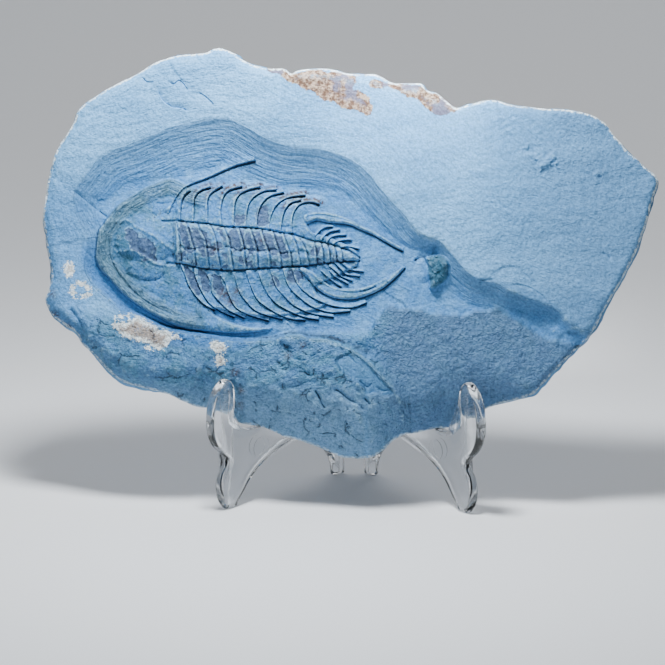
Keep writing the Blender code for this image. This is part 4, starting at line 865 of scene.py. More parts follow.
def add_axis(height, places):
    """The raised middle lobe with its rings, crease and side furrows."""
    u = places[:, 0]
    across = on_axis(places)
    length = np.clip((u - AXIS_START) / AXIS_LENGTH, 0, 1)
    ends = ease((u - AXIS_START) / 3) * ease((AXIS_START + AXIS_LENGTH + 1 - u) / 4)
    lobe = np.clip(1 - np.abs(across)**2.4, 0, 1)**0.6
    height += (AXIS_RISE - AXIS_TAPER * length) * lobe * ends
    within = (np.abs(across) < 1) & (ends > 0)
    for ring in AXIS_RINGS + tail_rings():
        path = smooth_path(ring, CURVE_STEP)
        index, distance, side, along = near_path(places, path, 3.2)
        offset = distance * side
        keep = within[index]
        fall = np.clip(1 + offset / RING_REACH, 0, 1)**1.5
        drop = np.clip(1 - offset / 0.4, 0, 1)
        saw = np.where(offset < 0, fall, drop)
        groove = np.exp(-((offset - 0.6) / 0.4)**2)
        height[index] += keep * (RING_RISE * saw - RING_GROOVE * groove)
    wiggle = 1.1 * wander(places, 3.0, SEED + 70)
    shifted = places + np.column_stack([np.zeros(len(places)), wiggle])
    add_line(height, shifted, AXIS_CREASE, 0.6, -CREASE_DEPTH)
    for furrow in (UPPER_FURROW, LOWER_FURROW):
        add_line(height, places, furrow, 0.6, -FURROW_DEPTH)


def add_pleura_steps(height, places):
    """The break across the inner end of each upper pleura."""
    for first, second in zip(UPPER_SPINES[2:], UPPER_SPINES[3:]):
        foot = (np.array(first[0]) + np.array(second[0])) / 2
        left = (first[0][0] + 0.6, foot[1] + 4.0)
        right = (second[0][0] - 0.6, foot[1] + 4.6)
        add_scarp(height, places, (left, (foot[0], foot[1] + 3.6), right), *PLEURA_STEP)


def add_head(height, places):
    """Rim, glabella, eye lobe, cheeks and cheek spines."""
    add_line(height, places, HEAD_RIM, *HEAD_RIM_RIDGE)
    add_scarp(height, places, RIM_FURROW, *RIM_STEP)
    add_dome(height, places, *GLABELLA, 0.7)
    add_dome(height, places, *EYE_BOSS, 0.8)
    add_scarp(height, places, EYE_LOBE, *EYE_STEP)
    for furrow in (RIM_FURROW, EYE_LOBE):
        add_line(height, places, furrow, *THIN_GROOVE)
    for ridge in CHEEK_RIDGES:
        add_line(height, places, ridge, *CHEEK_RIDGE)
    for flake in CHEEK_FLAKES:
        add_scarp(height, places, flake, *FLAKE_STEP)
    add_spine(height, places, UPPER_CHEEK_SPINE, CHEEK_KIND)
    add_line(height, places, LOWER_CHEEK_SPINE, *CHEEK_SPINE_RIDGE)


def add_body(height, places):
    """The animal: low dome, axis, pleural spines, tail and head."""
    ring = closed_ring(BODY_EDGE, CURVE_STEP)
    depth, along = depth_inside(places, ring, 60)
    depth = np.maximum(depth, 0)
    top = ease((places[:, 1] - 133) / 5)
    faint = 1 - 0.75 * top * ease((-77 - places[:, 0]) / 4) - 0.6 * top * ease((places[:, 0] + 77) / 4)
    step = 1 - (1 - np.clip(depth / (1.3 + 2.2 * top), 0, 1))**2
    height += 1.5 * faint * step + 2.2 * ease(depth / 24)
    add_axis(height, places)
    for spines, kind in ((UPPER_SPINES, UPPER_KIND), (LOWER_SPINES, LOWER_KIND), (TAIL_RIBS, RIB_KIND)):
        for spine in spines:
            add_spine(height, places, spine, kind)
    for outline, edge, crest in MACRO_SPINES:
        add_plate(height, places, outline, MACRO_RISE, MACRO_SIDE)
        add_spine(height, places, edge, MACRO_KIND)
        add_line(height, places, crest, *THIN_GROOVE)
    for furrow, spines in ((UPPER_FURROW, UPPER_SPINES), (LOWER_FURROW, LOWER_SPINES)):
        for spine in spines:
            u = spine[0][0]
            add_dome(height, places, (u, v_along(furrow, u)), PLEURA_PIT, -PLEURA_PIT_DEPTH, 1.0)
    add_line(height, places, MACRO_GROOVE, *DEEP_GROOVE)
    add_pleura_steps(height, places)
    add_head(height, places)
    skin = ease(depth / 2)
    height += SKIN_WAVES * rough_sum(places, (5.0, 2.2, 1.1), SEED + 40) * skin
    height += SKIN_FLAKES * flakes(places, (4.0, 2.0, 1.2), SEED + 43) * skin
    height -= PLUM_DEPTH * ease(plum_depth(places) / 0.3)


def plum_depth(places):
    """How far inside a flaked patch of the animal each place lies, in mm."""
    listed = patch_depth(places, PLUM_PATCHES, 2)
    ragged = 1.5 * rough_sum(places, (3.0, 1.5), SEED + 46)
    across = np.abs(on_axis(places))
    near = ((across < 0.95) & (places[:, 0] > -78) & (places[:, 0] < 2)).astype(float)
    scattered = (rough_sum(places, (6.0, 3.0, 1.5), SEED + 48) - 0.16) * 3 - 1.2 * (1 - near)
    return np.maximum(listed + ragged, scattered)


def lower_share(places):
    """How far each place has gone down from the face to the lower floor, 0 to 1."""
    ring = closed_ring(FLOOR_EDGE, RING_STEP)
    depth, along = depth_inside(places, ring)
    width = np.interp(along, lengths_along(ring), ring[:, 2])
    share = np.clip(depth / width, 0, 1)
    return 1 - (1 - share)**SLOPE_CURVE, depth, width, along


def add_marks(height, places):
    """Knob, steps, bumps, cracks and pits away from the animal."""
    add_plate(height, places, KNOB, KNOB_RISE, KNOB_SIDE)
    on_knob, along = depth_inside(places, closed_ring(KNOB, CURVE_STEP), 4)
    height += KNOB_WAVES * rough_sum(places, (5.0, 2.6, 1.4), SEED + 84) * ease(on_knob / 1.5)
    height -= KNOB_FLAKES * (1 - flakes(places, (4.0, 2.2), SEED + 86, 0.0)) * ease(on_knob)
    add_dome(height, places, *KNOB_SHELF, 0.7)
    add_plate(height, places, HOLLOW, -HOLLOW_DEPTH, 4.0)
    add_plate(height, places, FACET, -FACET_DEPTH, 0.9)
    for points, drop, fade in SCARPS:
        add_scarp(height, places, points, drop, fade)
    for points in RIDGES:
        add_line(height, places, points, *RIDGE_SHAPE)
    add_scarp(height, places, UPPER_LIP, *LIP_STEP)
    for points, half, deep in CRACKS:
        add_line(height, places, points, half, -deep)
    sway = np.column_stack([wander(places, 1.8, SEED + 90), wander(places, 1.8, SEED + 91)])
    for u, v, size, deep in PITS:
        add_dome(height, places + 0.8 * sway, (u, v), (size, size * 0.6), -deep, 1.0)
    for u, v, size, rise in BUMPS:
        add_dome(height, places + 1.6 * sway, (u, v), (size, size * 0.8), rise, 1.0)


def add_unevenness(height, places, rough, flat_right, margin, low):
    """Waves, ridges and flakes of the stone's broken, natural and carved surfaces."""
    broken = rough_sum(places, (8.0, 4.0, 2.2), SEED)
    ridged = 0.4 - np.abs(rough_sum(places, (11.0, 5.0, 2.4), SEED + 9))
    slabs = flakes(places, (13.0, 6.0, 3.0), SEED + 12)
    slabs = slabs + 0.7 * flakes(places, (7.0, 3.0, 2.0), SEED + 15, 0.1)
    lumpy = LUMP_WAVES * broken + LUMP_RIDGES * ridged + LUMP_FLAKES * slabs
    height += lumpy * rough * (1 - FLAT_CALM * flat_right)
    height += MARGIN_WAVES * broken * margin * (1 - rough)
    gentle = rough_sum(places * np.array([0.6, 1.0]), (22.0, 9.0, 4.0), SEED + 20)
    thin = flakes(places * np.array([0.5, 1.0]), (16.0, 7.0, 3.0), SEED + 25)
    height += (FACE_WAVES * gentle + FACE_FLAKES * thin) * (1 - rough) * (1 - low)
    height += FLOOR_WAVES * gentle * low * (1 - rough)


def stone_fields(places):
    """Height of the stone's face at each place, with the masks its colours use."""
    edge = closed_ring(OUTLINE, RING_STEP)
    low, floor_depth, slope_width, slope_along = lower_share(places)
    face = sheet(FACE_LEVELS, places)
    height = face + (sheet(FLOOR_LEVELS, places) - face) * low
    add_body(height, places)
    add_marks(height, places)

    from_edge, along = depth_inside(places, edge)
    depth = np.interp(along, lengths_along(edge), edge[:, 2])
    turn = np.interp(along, lengths_along(edge), edge[:, 3])
    shoulder = 1 - (1 - np.clip(from_edge / turn, 0, 1))**SHOULDER_CURVE
    u, v = places.T

    # Below is the broken lower part. Worked is what was carved smooth within it
    limit = v_along(ROUGH_LIMIT, u) + 1.2 * wander(places, 5.0, SEED + 95)
    below_right = ease((limit - v) / 2.5) * ease((u - 6) / 5)
    below = np.maximum(ease((ROUGH_TOP_V - v) / 14) * ease((14 - u) / 8), below_right)
    worked = ease(floor_depth / 3) * ease((v - 84) / 8 + (BASIN_END_U - u) / 60) * (1 - below_right)
    facet, along = depth_inside(places, closed_ring(LUMP_FACET, PATCH_STEP), 6)
    rough = below * (1 - worked) * (1 - 0.9 * ease(facet / 1.2))
    margin = ease((8 - from_edge) / 8)
    flat_right = ease((u - 8) / 16)
    height = depth + (height - depth) * shoulder
    add_unevenness(height, places, rough, flat_right, margin, low)
    height = np.where(from_edge <= 0.01, depth, height)
    masks = {
        "low": low,
        "bare": 1 - rough,
        "rough": below * (1 - worked) * (1 - 0.3 * ease(facet / 1.2)),
        "gritty": rough,
        "broken": rough * (1 - flat_right),
        # Painted shade towards the right end, where the light falls off
        "right_end_shade": ease((u - 40) / 75) * (1 - below),
        # Painted light on the lump's lower bulge, which faces down
        "lump_foot_light": below * ease((66 - v) / 16) * (1 - flat_right),
        "flat": flat_right * rough,
        # Share down the carved slope, for painted shade there and for the strokes' bump
        "slope": np.where(floor_depth > 0, np.clip(1 - floor_depth / slope_width, 0, 1), 0),
        "slope_along": slope_along,
        "slope_across": floor_depth,
        "inner": ease((from_edge - 1.5) / 2.5),
        # Painted highlight along the broken edge
        "rim": ease((2.2 - from_edge) / 2.2),
    }
    return height, masks


# The stone's mesh


def offset_line(path, amount):
    """An open path moved to its left by an amount."""
    runs = np.gradient(path[:, :2], axis=0)
    runs /= np.maximum(np.linalg.norm(runs, axis=1), 1e-6)[:, None]
    return path[:, :2] + np.column_stack([-runs[:, 1], runs[:, 0]]) * amount


def mark_lines():
    """Lines on the face that the mesh's edges follow, so that steps stay crisp."""
    sharp = UPPER_SPINES + LOWER_SPINES
    sharp += TAIL_RIBS + (UPPER_CHEEK_SPINE, EYE_LOBE)
    sharp += tuple(edge for outline, edge, crest in MACRO_SPINES)
    lines = []
    for points in sharp:
        path = smooth_path(points, LINE_SPACING)
        lines.append(offset_line(path, 0.02))
        lines.append(offset_line(path, -0.44))
    for ring in AXIS_RINGS + tail_rings():
        lines.append(smooth_path(ring, LINE_SPACING)[:, :2])
    floor_edge = closed_ring(FLOOR_EDGE, 2.4 * LINE_SPACING)
    room, along = depth_inside(floor_edge[:, :2], closed_ring(OUTLINE, RING_STEP))
    for stretch in np.split(np.arange(len(room)), np.nonzero(room < 1.5)[0]):
        if len(stretch) > 4:
            lines.append(offset_line(floor_edge[stretch[1:]], 0.1))
            lines.append(offset_line(floor_edge[stretch[1:]], -0.5))
    for points, half, deep in CRACKS:
        lines.append(smooth_path(points, 2 * LINE_SPACING)[:, :2])
    for points, drop, fade in SCARPS:
        path = smooth_path(points, 1.6 * LINE_SPACING)
        lines.append(offset_line(path, 0.02))
        lines.append(offset_line(path, -0.44))
    return lines


def hex_grid(spacing):
    """Evenly spaced places over the whole slab."""
    us = np.arange(*GRID_U, spacing)
    vs = np.arange(*GRID_V, spacing * math.sqrt(0.75))
    grid = np.array(np.meshgrid(us, vs)).transpose(1, 2, 0)
    grid[1::2, :, 0] += spacing / 2
    return grid.reshape(-1, 2)


def near_spots(places):
    """Places close to a pit, a bump or a small step."""
    spots = [(u, v) for u, v, size, rise in PITS + BUMPS]
    spots += [point for points, drop, fade in SCARPS for point in points]
    found = np.zeros(len(places), bool)
    for u, v in spots:
        found |= (places[:, 0] - u)**2 + (places[:, 1] - v)**2 < SPOT_REACH**2
    return found


def fill_places(edge, lines):
    """Places spread over the face, closer together where there is more to show."""
    detail = smooth_path(DETAIL_EDGE, ZONE_STEP, closed=True)
    floor_edge = smooth_path(FLOOR_EDGE, ZONE_STEP, closed=True)
    marks = np.vstack(lines)
    spacings = (DETAIL_SPACING, SPOT_SPACING, HOLLOW_SPACING, ROUGH_SPACING, PLAIN_SPACING)
    chosen = []
    for kind, spacing in enumerate(spacings):
        grid = hex_grid(spacing)
        grid = grid[inside(grid, edge)]
        knob = ((grid - np.array(KNOB_MIDDLE))**2).sum(axis=1) < KNOB_REACH**2
        zones = [
            inside(grid, detail) | knob,
            near_spots(grid),
            inside(grid, floor_edge) & (grid[:, 0] < BASIN_END_U),
            (grid[:, 1] < ROUGH_TOP_V) & (grid[:, 0] < ROUGH_END_U),
            np.ones(len(grid), bool),
        ]
        wanted = zones[kind]
        for earlier in zones[:kind]:
            wanted = wanted & ~earlier
        chosen.append(thin_out(grid[wanted], marks, spacing * 0.5))
    return thin_out(np.vstack(chosen), edge[:, :2], EDGE_SPACING * 0.55)


def thin_out(places, others, gap):
    """Leave out the places closer than a gap to any of the others."""
    cell = max(gap, 1.0)
    table = {}
    for u, v in others:
        table.setdefault((int(u // cell), int(v // cell)), []).append((u, v))
    keys = np.floor(places / cell).astype(int)
    near_keys = {(a + i, b + j) for a, b in table for i in (-1, 0, 1) for j in (-1, 0, 1)}
    keep = np.ones(len(places), bool)
    for k, (a, b) in enumerate(keys.tolist()):
        if (a, b) not in near_keys:
            continue
        u, v = places[k]
        for i in (-1, 0, 1):
            for j in (-1, 0, 1):
                for x, y in table.get((a + i, b + j), ()):
                    if (u - x)**2 + (v - y)**2 < gap * gap:
                        keep[k] = False
    return places[keep]


def face_triangles(edge, lines, filling):
    """Triangles that follow an edge and lines, with places between them."""
    verts = [Vector(p) for p in edge[:, :2]]
    loop = list(range(len(verts)))
    edges = []
    for line in lines:
        start = len(verts)
        verts += [Vector(p) for p in line]
        edges += [(k, k + 1) for k in range(start, len(verts) - 1)]
    verts += [Vector(p) for p in filling]
    made = delaunay_2d_cdt(verts, edges, [loop], 1, 1e-4)
    return np.array([tuple(p) for p in made[0]]), np.array(made[2])


def anticlockwise(places, triangles):
    """The triangles all turned the same way."""
    a, b, c = (places[triangles[:, k]] for k in range(3))
    turn = (b[:, 0] - a[:, 0]) * (c[:, 1] - a[:, 1]) - (b[:, 1] - a[:, 1]) * (c[:, 0] - a[:, 0])
    return np.where((turn > 0)[:, None], triangles, triangles[:, ::-1])


def boundary_loop(triangles):
    """The vertices round the outside of a set of triangles, in order."""
    used = set()
    for a, b, c in triangles.tolist():
        used.update(((a, b), (b, c), (c, a)))
    follows = {a: b for a, b in used if (b, a) not in used}
    loop = [next(iter(follows))]
    while follows[loop[-1]] != loop[0]:
        loop.append(follows[loop[-1]])
    return np.array(loop)


def outward(ring):
    """Unit vectors pointing out of an anticlockwise ring."""
    runs = np.roll(ring, -1, axis=0) - np.roll(ring, 1, axis=0)
    runs /= np.maximum(np.linalg.norm(runs, axis=1), 1e-6)[:, None]
    return np.column_stack([runs[:, 1], -runs[:, 0]])


def back_height(places):
    """The depth of the stone's back: flat where the fins stand behind it."""
    v = places[:, 1]
    fin_u = (fin_front(v * math.cos(LEAN)) + FOOT_FROM_HINGE) * math.sin(LEG_SPREAD)
    beside = np.abs(np.abs(places[:, 0]) - fin_u)
    above = np.maximum(v - FIN_TURN_Z, 0)
    clear = ease((np.hypot(beside, above) - FIN_CLEARANCE) / 18) * ease((v - 50) / 12)
    big = 0.5 + 0.5 * np.clip(wander(places, 45.0, SEED + 50), -1, 1)
    small = rough_sum(places, (16.0, 7.0, 3.5), SEED + 55)
    raised = clear * (BACK_WAVES * big + 0.25) + BACK_ROUGHNESS * clear * small
    return -THICKNESS + raised + 0.05 * (1 + small)


def side_rows(ring, top):
    """Rows of points down the broken side, from under the face's edge to the back."""
    out = outward(ring)
    travelled = lengths_along(ring)
    lower = ease((60 - ring[:, 1]) / 10)
    rows = []
    for row in range(1, SIDE_ROWS + 1):
        share = row / SIDE_ROWS
        depths = top * (1 - share) - THICKNESS * share
        swirl = np.column_stack([travelled, depths * 2.2])
        ledges = rough_sum(swirl, (16.0, 6.0, 3.0), SEED + 60) * math.sin(math.pi * min(share + 0.08, 1))
        bulge = SIDE_BULGE * math.sin(math.pi * share) - SIDE_DRAW_IN * share**2
        reach = bulge * (1 - lower) - 0.25 * share
        now = ring + out * (reach + SIDE_LEDGES * ledges * (1 - 0.8 * lower))[:, None]
        rows.append(np.column_stack([now, depths]))
    return rows


def side_faces(loop, count):
    """Triangles between the rows of the side, and the vertices of the last row."""
    ahead = np.roll(np.arange(len(loop)), -1)
    faces = []
    upper = loop
    for row in range(SIDE_ROWS):
        lower = np.arange(len(loop)) + count + row * len(loop)
        faces.append(np.column_stack([upper[ahead], upper, lower]))
        faces.append(np.column_stack([upper[ahead], lower, lower[ahead]]))
        upper = lower
    return faces, upper


def stone_mesh():
    """The whole stone as one closed mesh with its colour masks as attributes."""
    edge = smooth_path(OUTLINE, EDGE_SPACING, closed=True)[:, :2]
    nibbled = rough_sum(edge, (6.0, 3.0), SEED + 30)
    edge = edge + outward(edge[::-1])[::-1] * (nibbled * NIBBLES - NIBBLE_INSET)[:, None]
    lines = mark_lines()
    places, triangles = face_triangles(edge, lines, fill_places(edge, lines))
    triangles = anticlockwise(places, triangles)
    loop = boundary_loop(triangles)
    height, masks = stone_fields(places)

    rows = side_rows(places[loop], height[loop])
    faces, last = side_faces(loop, len(places))
    rim = rows[-1][:, :2]
    grid = hex_grid(BACK_SPACING)
    grid = thin_out(grid[inside(grid, rim)], rim, BACK_SPACING * 0.5)
    back, cut = face_triangles(rim, [], grid)
    within = back[len(rim):]
    names = np.concatenate([last, np.arange(len(within)) + last[-1] + 1])
    behind = names[anticlockwise(back, cut)][:, ::-1]

    on_face = np.column_stack([places, height])
    everything = np.vstack([on_face, *rows, np.column_stack([within, back_height(within)])])
    mesh = bpy.data.meshes.new("stone")
    mesh.from_pydata((everything * MM).tolist(), [], np.vstack([triangles, *faces, behind]).tolist())
    mesh.validate()
    masks.update(colour_masks(places, height, triangles, masks.pop("inner")))
    store(mesh, masks, loop, len(everything))
    mesh.shade_smooth()
    mesh.set_sharp_from_angle(angle=math.radians(SHARP_DEGREES))
    return mesh


def store(mesh, masks, loop, count):
    """Keep per-point numbers on the mesh, with values beyond the face.

    Patches go on over the broken side and stop there. The side and back are as rough as
    stated, and the other masks are 0 beyond the face.
    """
    for name, values in masks.items():
        layer = mesh.attributes.new(name, "FLOAT", "POINT")
        full = np.full(count, BEYOND_FACE.get(name, 0.0), np.float32)
        if name in PATCH_MASKS:
            full[:] = FAR_OUTSIDE
            full[len(values):len(values) + SIDE_ROWS * len(loop)] = np.tile(values[loop], SIDE_ROWS)
        full[:len(values)] = values
        layer.data.foreach_set("value", full)


def patch_depth(places, patches, reach):
    """The greatest distance inside any of the patches, down to minus the reach."""
    depth = np.full(len(places), -float(reach))
    for patch in patches:
        found, along = depth_inside(places, closed_ring(patch, CURVE_STEP), reach)
        depth = np.maximum(depth, found)
    return depth


def ring_depth(places, points, half, reach):
    """The distance inside a band that follows a closed line, down to minus the reach."""
    depth = np.full(len(places), -float(reach))
    index, distance, side, along = near_path(places, closed_ring(points, CURVE_STEP), reach)
    depth[index] = np.maximum(half - distance, -reach)
    return depth


def colour_masks(places, height, triangles, inner):
    """Masks for the colours that follow shapes on the face."""
    body, body_along = depth_inside(places, closed_ring(BODY_EDGE, PATCH_STEP), 60)
    iron = np.zeros(len(places))
    for which, strength in IRON_SPINES:
        path = smooth_path(UPPER_SPINES[which], CURVE_STEP)
        index, distance, side, along = near_path(places, path, 3.2)
        share = along / lengths_along(path)[-1]
        near = np.clip(1.8 - np.abs(distance * side - 0.9) / 0.75, 0, 1) * ease((share - 0.4) / 0.25)
        iron[index] = np.maximum(iron[index], near * strength)
    for spot_u, spot_v, size in IRON_SPOTS:
        far = np.hypot(places[:, 0] - spot_u, places[:, 1] - spot_v)
        iron = np.maximum(iron, 0.8 * np.clip(1.3 - far / size, 0, 1))
    u = places[:, 0]
    axis = (places[:, 1] < v_along(UPPER_FURROW, u))
    axis &= places[:, 1] > v_along(LOWER_FURROW, u)
    axis &= (u > AXIS_START) & (u < AXIS_START + AXIS_LENGTH)
    knob, along = depth_inside(places, closed_ring(KNOB, CURVE_STEP), 4)
    blades = patch_depth(places, [outline for outline, edge, crest in MACRO_SPINES], 2)
    fields = np.maximum(ease(body / 1.5), ease(blades / 0.6))
    # Painted shade in the strip just below and left of the head, and half as much towards the lower left
    # edge
    sunken = ease((10 + body) / 6) * (body < 0) * ease((-34 - u) / 16) * ease((132 - places[:, 1]) / 14)
    moat_shade = np.maximum(sunken, 0.5 * ease((-112 - u) / 14) * ease((165 - places[:, 1]) / 30))
    band = ease(body / 0.8) * ease((8.5 - body) / 3) * ease((-64 - u) / 6)
    return {
        "animal": fields,
        "moat_shade": moat_shade,
        "band": band,
        "body_across": body,
        "body_along": body_along,
        # Painted shade on the trail's slope and the facets
        "dark": patch_depth(places, SHADE_PATCHES, 4),
        "axis": axis.astype(float),
        "iron": iron,
        "plum": np.where(body > 0, plum_depth(places), -2.0),
        "crust": patch_depth(places, CRUST, 4),
        "pale": np.maximum(patch_depth(places, PALE_PATCHES, 6),
                           ring_depth(places, PALE_RING, PALE_RING_HALF, 6)),
        "teal": np.maximum(1.6 * ease(knob / 1.2), ease(body / 3) * ease((-88 - u) / 16)),
        # Depth below the surroundings, for painted shade in grooves and painted highlight on crests
        "grooves": hollowness(places, height, triangles) * inner,
    }


def hollowness(places, height, triangles):
    """How far each point lies below its surroundings, in mm, positive in grooves."""
    starts = triangles.ravel()
    ends = np.roll(triangles, -1, axis=1).ravel()
    count = len(height)
    number = np.bincount(starts, minlength=count) + np.bincount(ends, minlength=count)
    smooth = height
    for step in range(HOLLOW_ROUNDS):
        total = np.bincount(starts, smooth[ends], count) + np.bincount(ends, smooth[starts], count)
        smooth = total / np.maximum(number, 1)
    wanted = np.where(inside(places, smooth_path(DETAIL_EDGE, ZONE_STEP, closed=True)), 1.0, 0.4)
    return (smooth - height) * wanted


# The clear legs


def fin_front(z):
    """How far out the fin reaches at a height, to stand just behind the leaning slab."""
    back_y = FACE_FOOT_Y + THICKNESS / math.cos(LEAN) + z * math.tan(LEAN)
    rounding = LEG_EDGE_RADIUS * (math.cos(LEG_SPREAD) + math.sin(LEG_SPREAD) - 1)
    edge_y = back_y + REST_GAP / math.cos(LEAN) - rounding
    corner = (PANEL_FROM_HINGE - LEG_THICKNESS / 2) * math.sin(LEG_SPREAD)
    return (HINGE_Y + corner - edge_y) / math.cos(LEG_SPREAD) - FOOT_FROM_HINGE


def leg_outline():
    """The leg's side view as one anticlockwise ring of s and z."""
    fin_foot = (fin_front(LEDGE_Z), LEDGE_Z)
    fin_head = (fin_front(FIN_TURN_Z), FIN_TURN_Z)
    front = smooth_path(LEG_FRONT + (fin_foot,), LEG_STEP)
    head = smooth_path((fin_head,) + LEG_HEAD, LEG_STEP)
    heel = smooth_path(LEG_HEEL, LEG_STEP)
    arch = smooth_path(LEG_ARCH, LEG_STEP)
    ring = np.vstack([front, head, heel, arch])
    ring[:, 1] = np.maximum(ring[:, 1], 0)
    return ring


def rounded_panel(ring, low, high, radius):
    """A flat plate with rounded edges, from a ring in X and Z, between two Y values."""
    out = outward(ring)
    mesh = bmesh.new()
    turns = np.linspace(0, math.pi / 2, LEG_ROUND_STEPS + 1)
    cuts = [(radius * (1 - math.sin(t)), radius * (1 - math.cos(t))) for t in turns]
    levels = [(ring - out * inset, low + rise) for rise, inset in reversed(cuts)]
    levels += [(ring - out * inset, high - rise) for rise, inset in cuts]
    loops = [[mesh.verts.new((x * MM, y * MM, z * MM)) for x, z in places] for places, y in levels]
    for before, after in zip(loops, loops[1:]):
        for k in range(len(ring)):
            n = (k + 1) % len(ring)
            mesh.faces.new((before[k], before[n], after[n], after[k]))
    mesh.faces.new(loops[0][::-1])
    mesh.faces.new(loops[-1])
    bmesh.ops.triangulate(mesh, faces=[f for f in mesh.faces if len(f.verts) > 4])
    bmesh.ops.recalc_face_normals(mesh, faces=mesh.faces[:])
    return mesh


def prism(plan, bottom, top):
    """A plan outline raised between two heights, as a helper object."""
    mesh = bmesh.new()
    rows = [[mesh.verts.new((x * MM, y * MM, z * MM)) for x, y in plan] for z in (bottom, top)]
    for k in range(len(plan)):
        n = (k + 1) % len(plan)
        mesh.faces.new((rows[0][k], rows[0][n], rows[1][n], rows[1][k]))
    mesh.faces.new(rows[0][::-1])
    mesh.faces.new(rows[1])
    bmesh.ops.recalc_face_normals(mesh, faces=mesh.faces[:])
    return link_mesh("helper", finished(mesh, "helper"))


def arc(radius, start, end):
    """Points on a circle round the hinge's axis, between two angles in degrees."""
    return [(radius * math.cos(math.radians(a)), radius * math.sin(math.radians(a)))
            for a in np.linspace(start, end, ARC_STEPS)]


def hinge_plans(mirror):
    """Plans of the closed knuckle and the open clip, each with its arm."""
    plans = []
    for radius, clip in ((KNUCKLE_RADIUS, False), (CLIP_RADIUS, True)):
        angle = math.degrees(math.asin(ARM_INNER / radius))
        first = math.degrees(math.asin(ARM_OUTER / radius))
        if clip:
            plan = arc(radius, first, 190) + arc(CLIP_BORE, 190, -70) + arc(radius, -70, angle)
        else:
            plan = arc(radius, first, 360 + angle)
        plan += [(ARM_REACH, ARM_INNER), (ARM_REACH, ARM_OUTER)]
        plans.append([(x, y * mirror) for x, y in plan])
    return plans


def finished(built, name):
    """A bmesh turned into a named mesh."""
    mesh = bpy.data.meshes.new(name)
    built.to_mesh(mesh)
    built.free()
    return mesh


def link_mesh(name, mesh):
    """A new object for a mesh, in the scene."""
    made = bpy.data.objects.new(name, mesh)
    bpy.context.scene.collection.objects.link(made)
    return made


def mould_mark(middle):
    """The low round disc that the moulding pin leaves on both sides of a leg."""
    (s, z), radius, proud = MOULD_MARK
    disc = bmesh.new()
    bmesh.ops.create_cone(disc, cap_ends=True, segments=48, radius1=radius * MM, radius2=radius * MM,
                          depth=(LEG_THICKNESS + 2 * proud) * MM)
    bmesh.ops.rotate(disc, verts=disc.verts[:], matrix=Matrix.Rotation(math.pi / 2, 3, "X"))
    bmesh.ops.translate(disc, verts=disc.verts[:], vec=((s + FOOT_FROM_HINGE) * MM, middle * MM, z * MM))
    return link_mesh("helper", finished(disc, "helper"))


def hinge_half(mirror):
    """A leg's half of the hinge: knuckles and rod on the left, clips on the right."""
    knuckle, clip = hinge_plans(mirror)
    helpers = []
    for slot in range(HINGE_SLOTS):
        bottom = HINGE_BOTTOM + slot * HINGE_PITCH
        if mirror < 0 and slot % 2 == 0:
            helpers.append(prism(knuckle, bottom, bottom + KNUCKLE_HEIGHT))
        if mirror > 0 and slot % 2 == 1:
            helpers.append(prism(clip, bottom, bottom + KNUCKLE_HEIGHT))
    if mirror < 0:
        top = HINGE_BOTTOM + (HINGE_SLOTS - 1) * HINGE_PITCH + KNUCKLE_HEIGHT / 2
        helpers.append(prism(arc(ROD_RADIUS, 0, 350), HINGE_BOTTOM + KNUCKLE_HEIGHT / 2, top))
    return helpers


def joined_mesh(leg, helpers):
    """The leg's mesh with the helpers merged in. The helpers are removed."""
    for helper in helpers:
        join = leg.modifiers.new("join", "BOOLEAN")
        join.operation = "UNION"
        join.solver = "EXACT"
        join.object = helper
    joined = bpy.data.meshes.new_from_object(leg.evaluated_get(bpy.context.evaluated_depsgraph_get()))
    leg.modifiers.clear()
    leg.data = joined
    for helper in helpers:
        bpy.data.objects.remove(helper)
    return joined


def make_leg(name, node, body, mirror, stand):
    """One clear leg with its half of the hinge. Mirror is 1 on the right, -1 on the left."""
    ring = leg_outline() + np.array([FOOT_FROM_HINGE, 0])
    middle = PANEL_FROM_HINGE * mirror
    panel = rounded_panel(ring, middle - LEG_THICKNESS / 2, middle + LEG_THICKNESS / 2, LEG_EDGE_RADIUS)
    leg = link_mesh(name, finished(panel, name))
    joined = joined_mesh(leg, [mould_mark(middle)] + hinge_half(mirror))
    turn = Matrix.Rotation(-math.pi / 2 + LEG_SPREAD * mirror, 4, "Z")
    joined.transform(Matrix.Translation((stand.x, stand.y + HINGE_Y * MM, 0)) @ turn)
    joined.shade_smooth()
    joined.set_sharp_from_angle(angle=math.radians(LEG_SHARP_DEGREES))
    joined.materials.clear()
    joined.materials.append(plastic_material())
    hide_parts(node)
    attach(leg, body)


# Materials


def put(tree, kind, values=None, **settings):
    """Add a node, set it up and feed its inputs with numbers or other nodes' outputs."""
    made = tree.nodes.new(kind)
    for name, value in settings.items():
        setattr(made, name, value)
    for name, value in (values or {}).items():
        if isinstance(value, bpy.types.NodeSocket):
            tree.links.new(value, made.inputs[name])
        else:
            made.inputs[name].default_value = value
    return made


def mask(tree, name):
    """One of the mesh's stored numbers."""
    return put(tree, "ShaderNodeAttribute", attribute_name=name).outputs["Fac"]


def grain(tree, size, detail, roughness=0.55, stretch=(1, 1, 1)):
    """Noise in the stone's own space, with features of a size in mm."""
    place = put(tree, "ShaderNodeTexCoord").outputs["Object"]
    mapping = put(tree, "ShaderNodeMapping", {"Vector": place, "Scale": stretch})
    made = put(tree, "ShaderNodeTexNoise", {
        "Vector": mapping.outputs["Vector"], "Scale": 1000 / size, "Detail": detail,
        "Roughness": roughness})
    return made.outputs["Fac"]


def layers(tree, value, count):
    """A value cut into thin steps with crisp edges, like layers of shale."""
    scaled = times(tree, value, count)
    whole = calc(tree, "FLOOR", scaled)
    return plus(tree, whole, spread(tree, minus(tree, scaled, whole), 0.7, 1.0))


def spread(tree, value, low, high, to_low=0.0, to_high=1.0):
    """A value mapped from one range to another, held at the ends."""
    return put(tree, "ShaderNodeMapRange", {
        "Value": value, "From Min": low, "From Max": high, "To Min": to_low, "To Max": to_high},
        interpolation_type="SMOOTHSTEP").outputs["Result"]


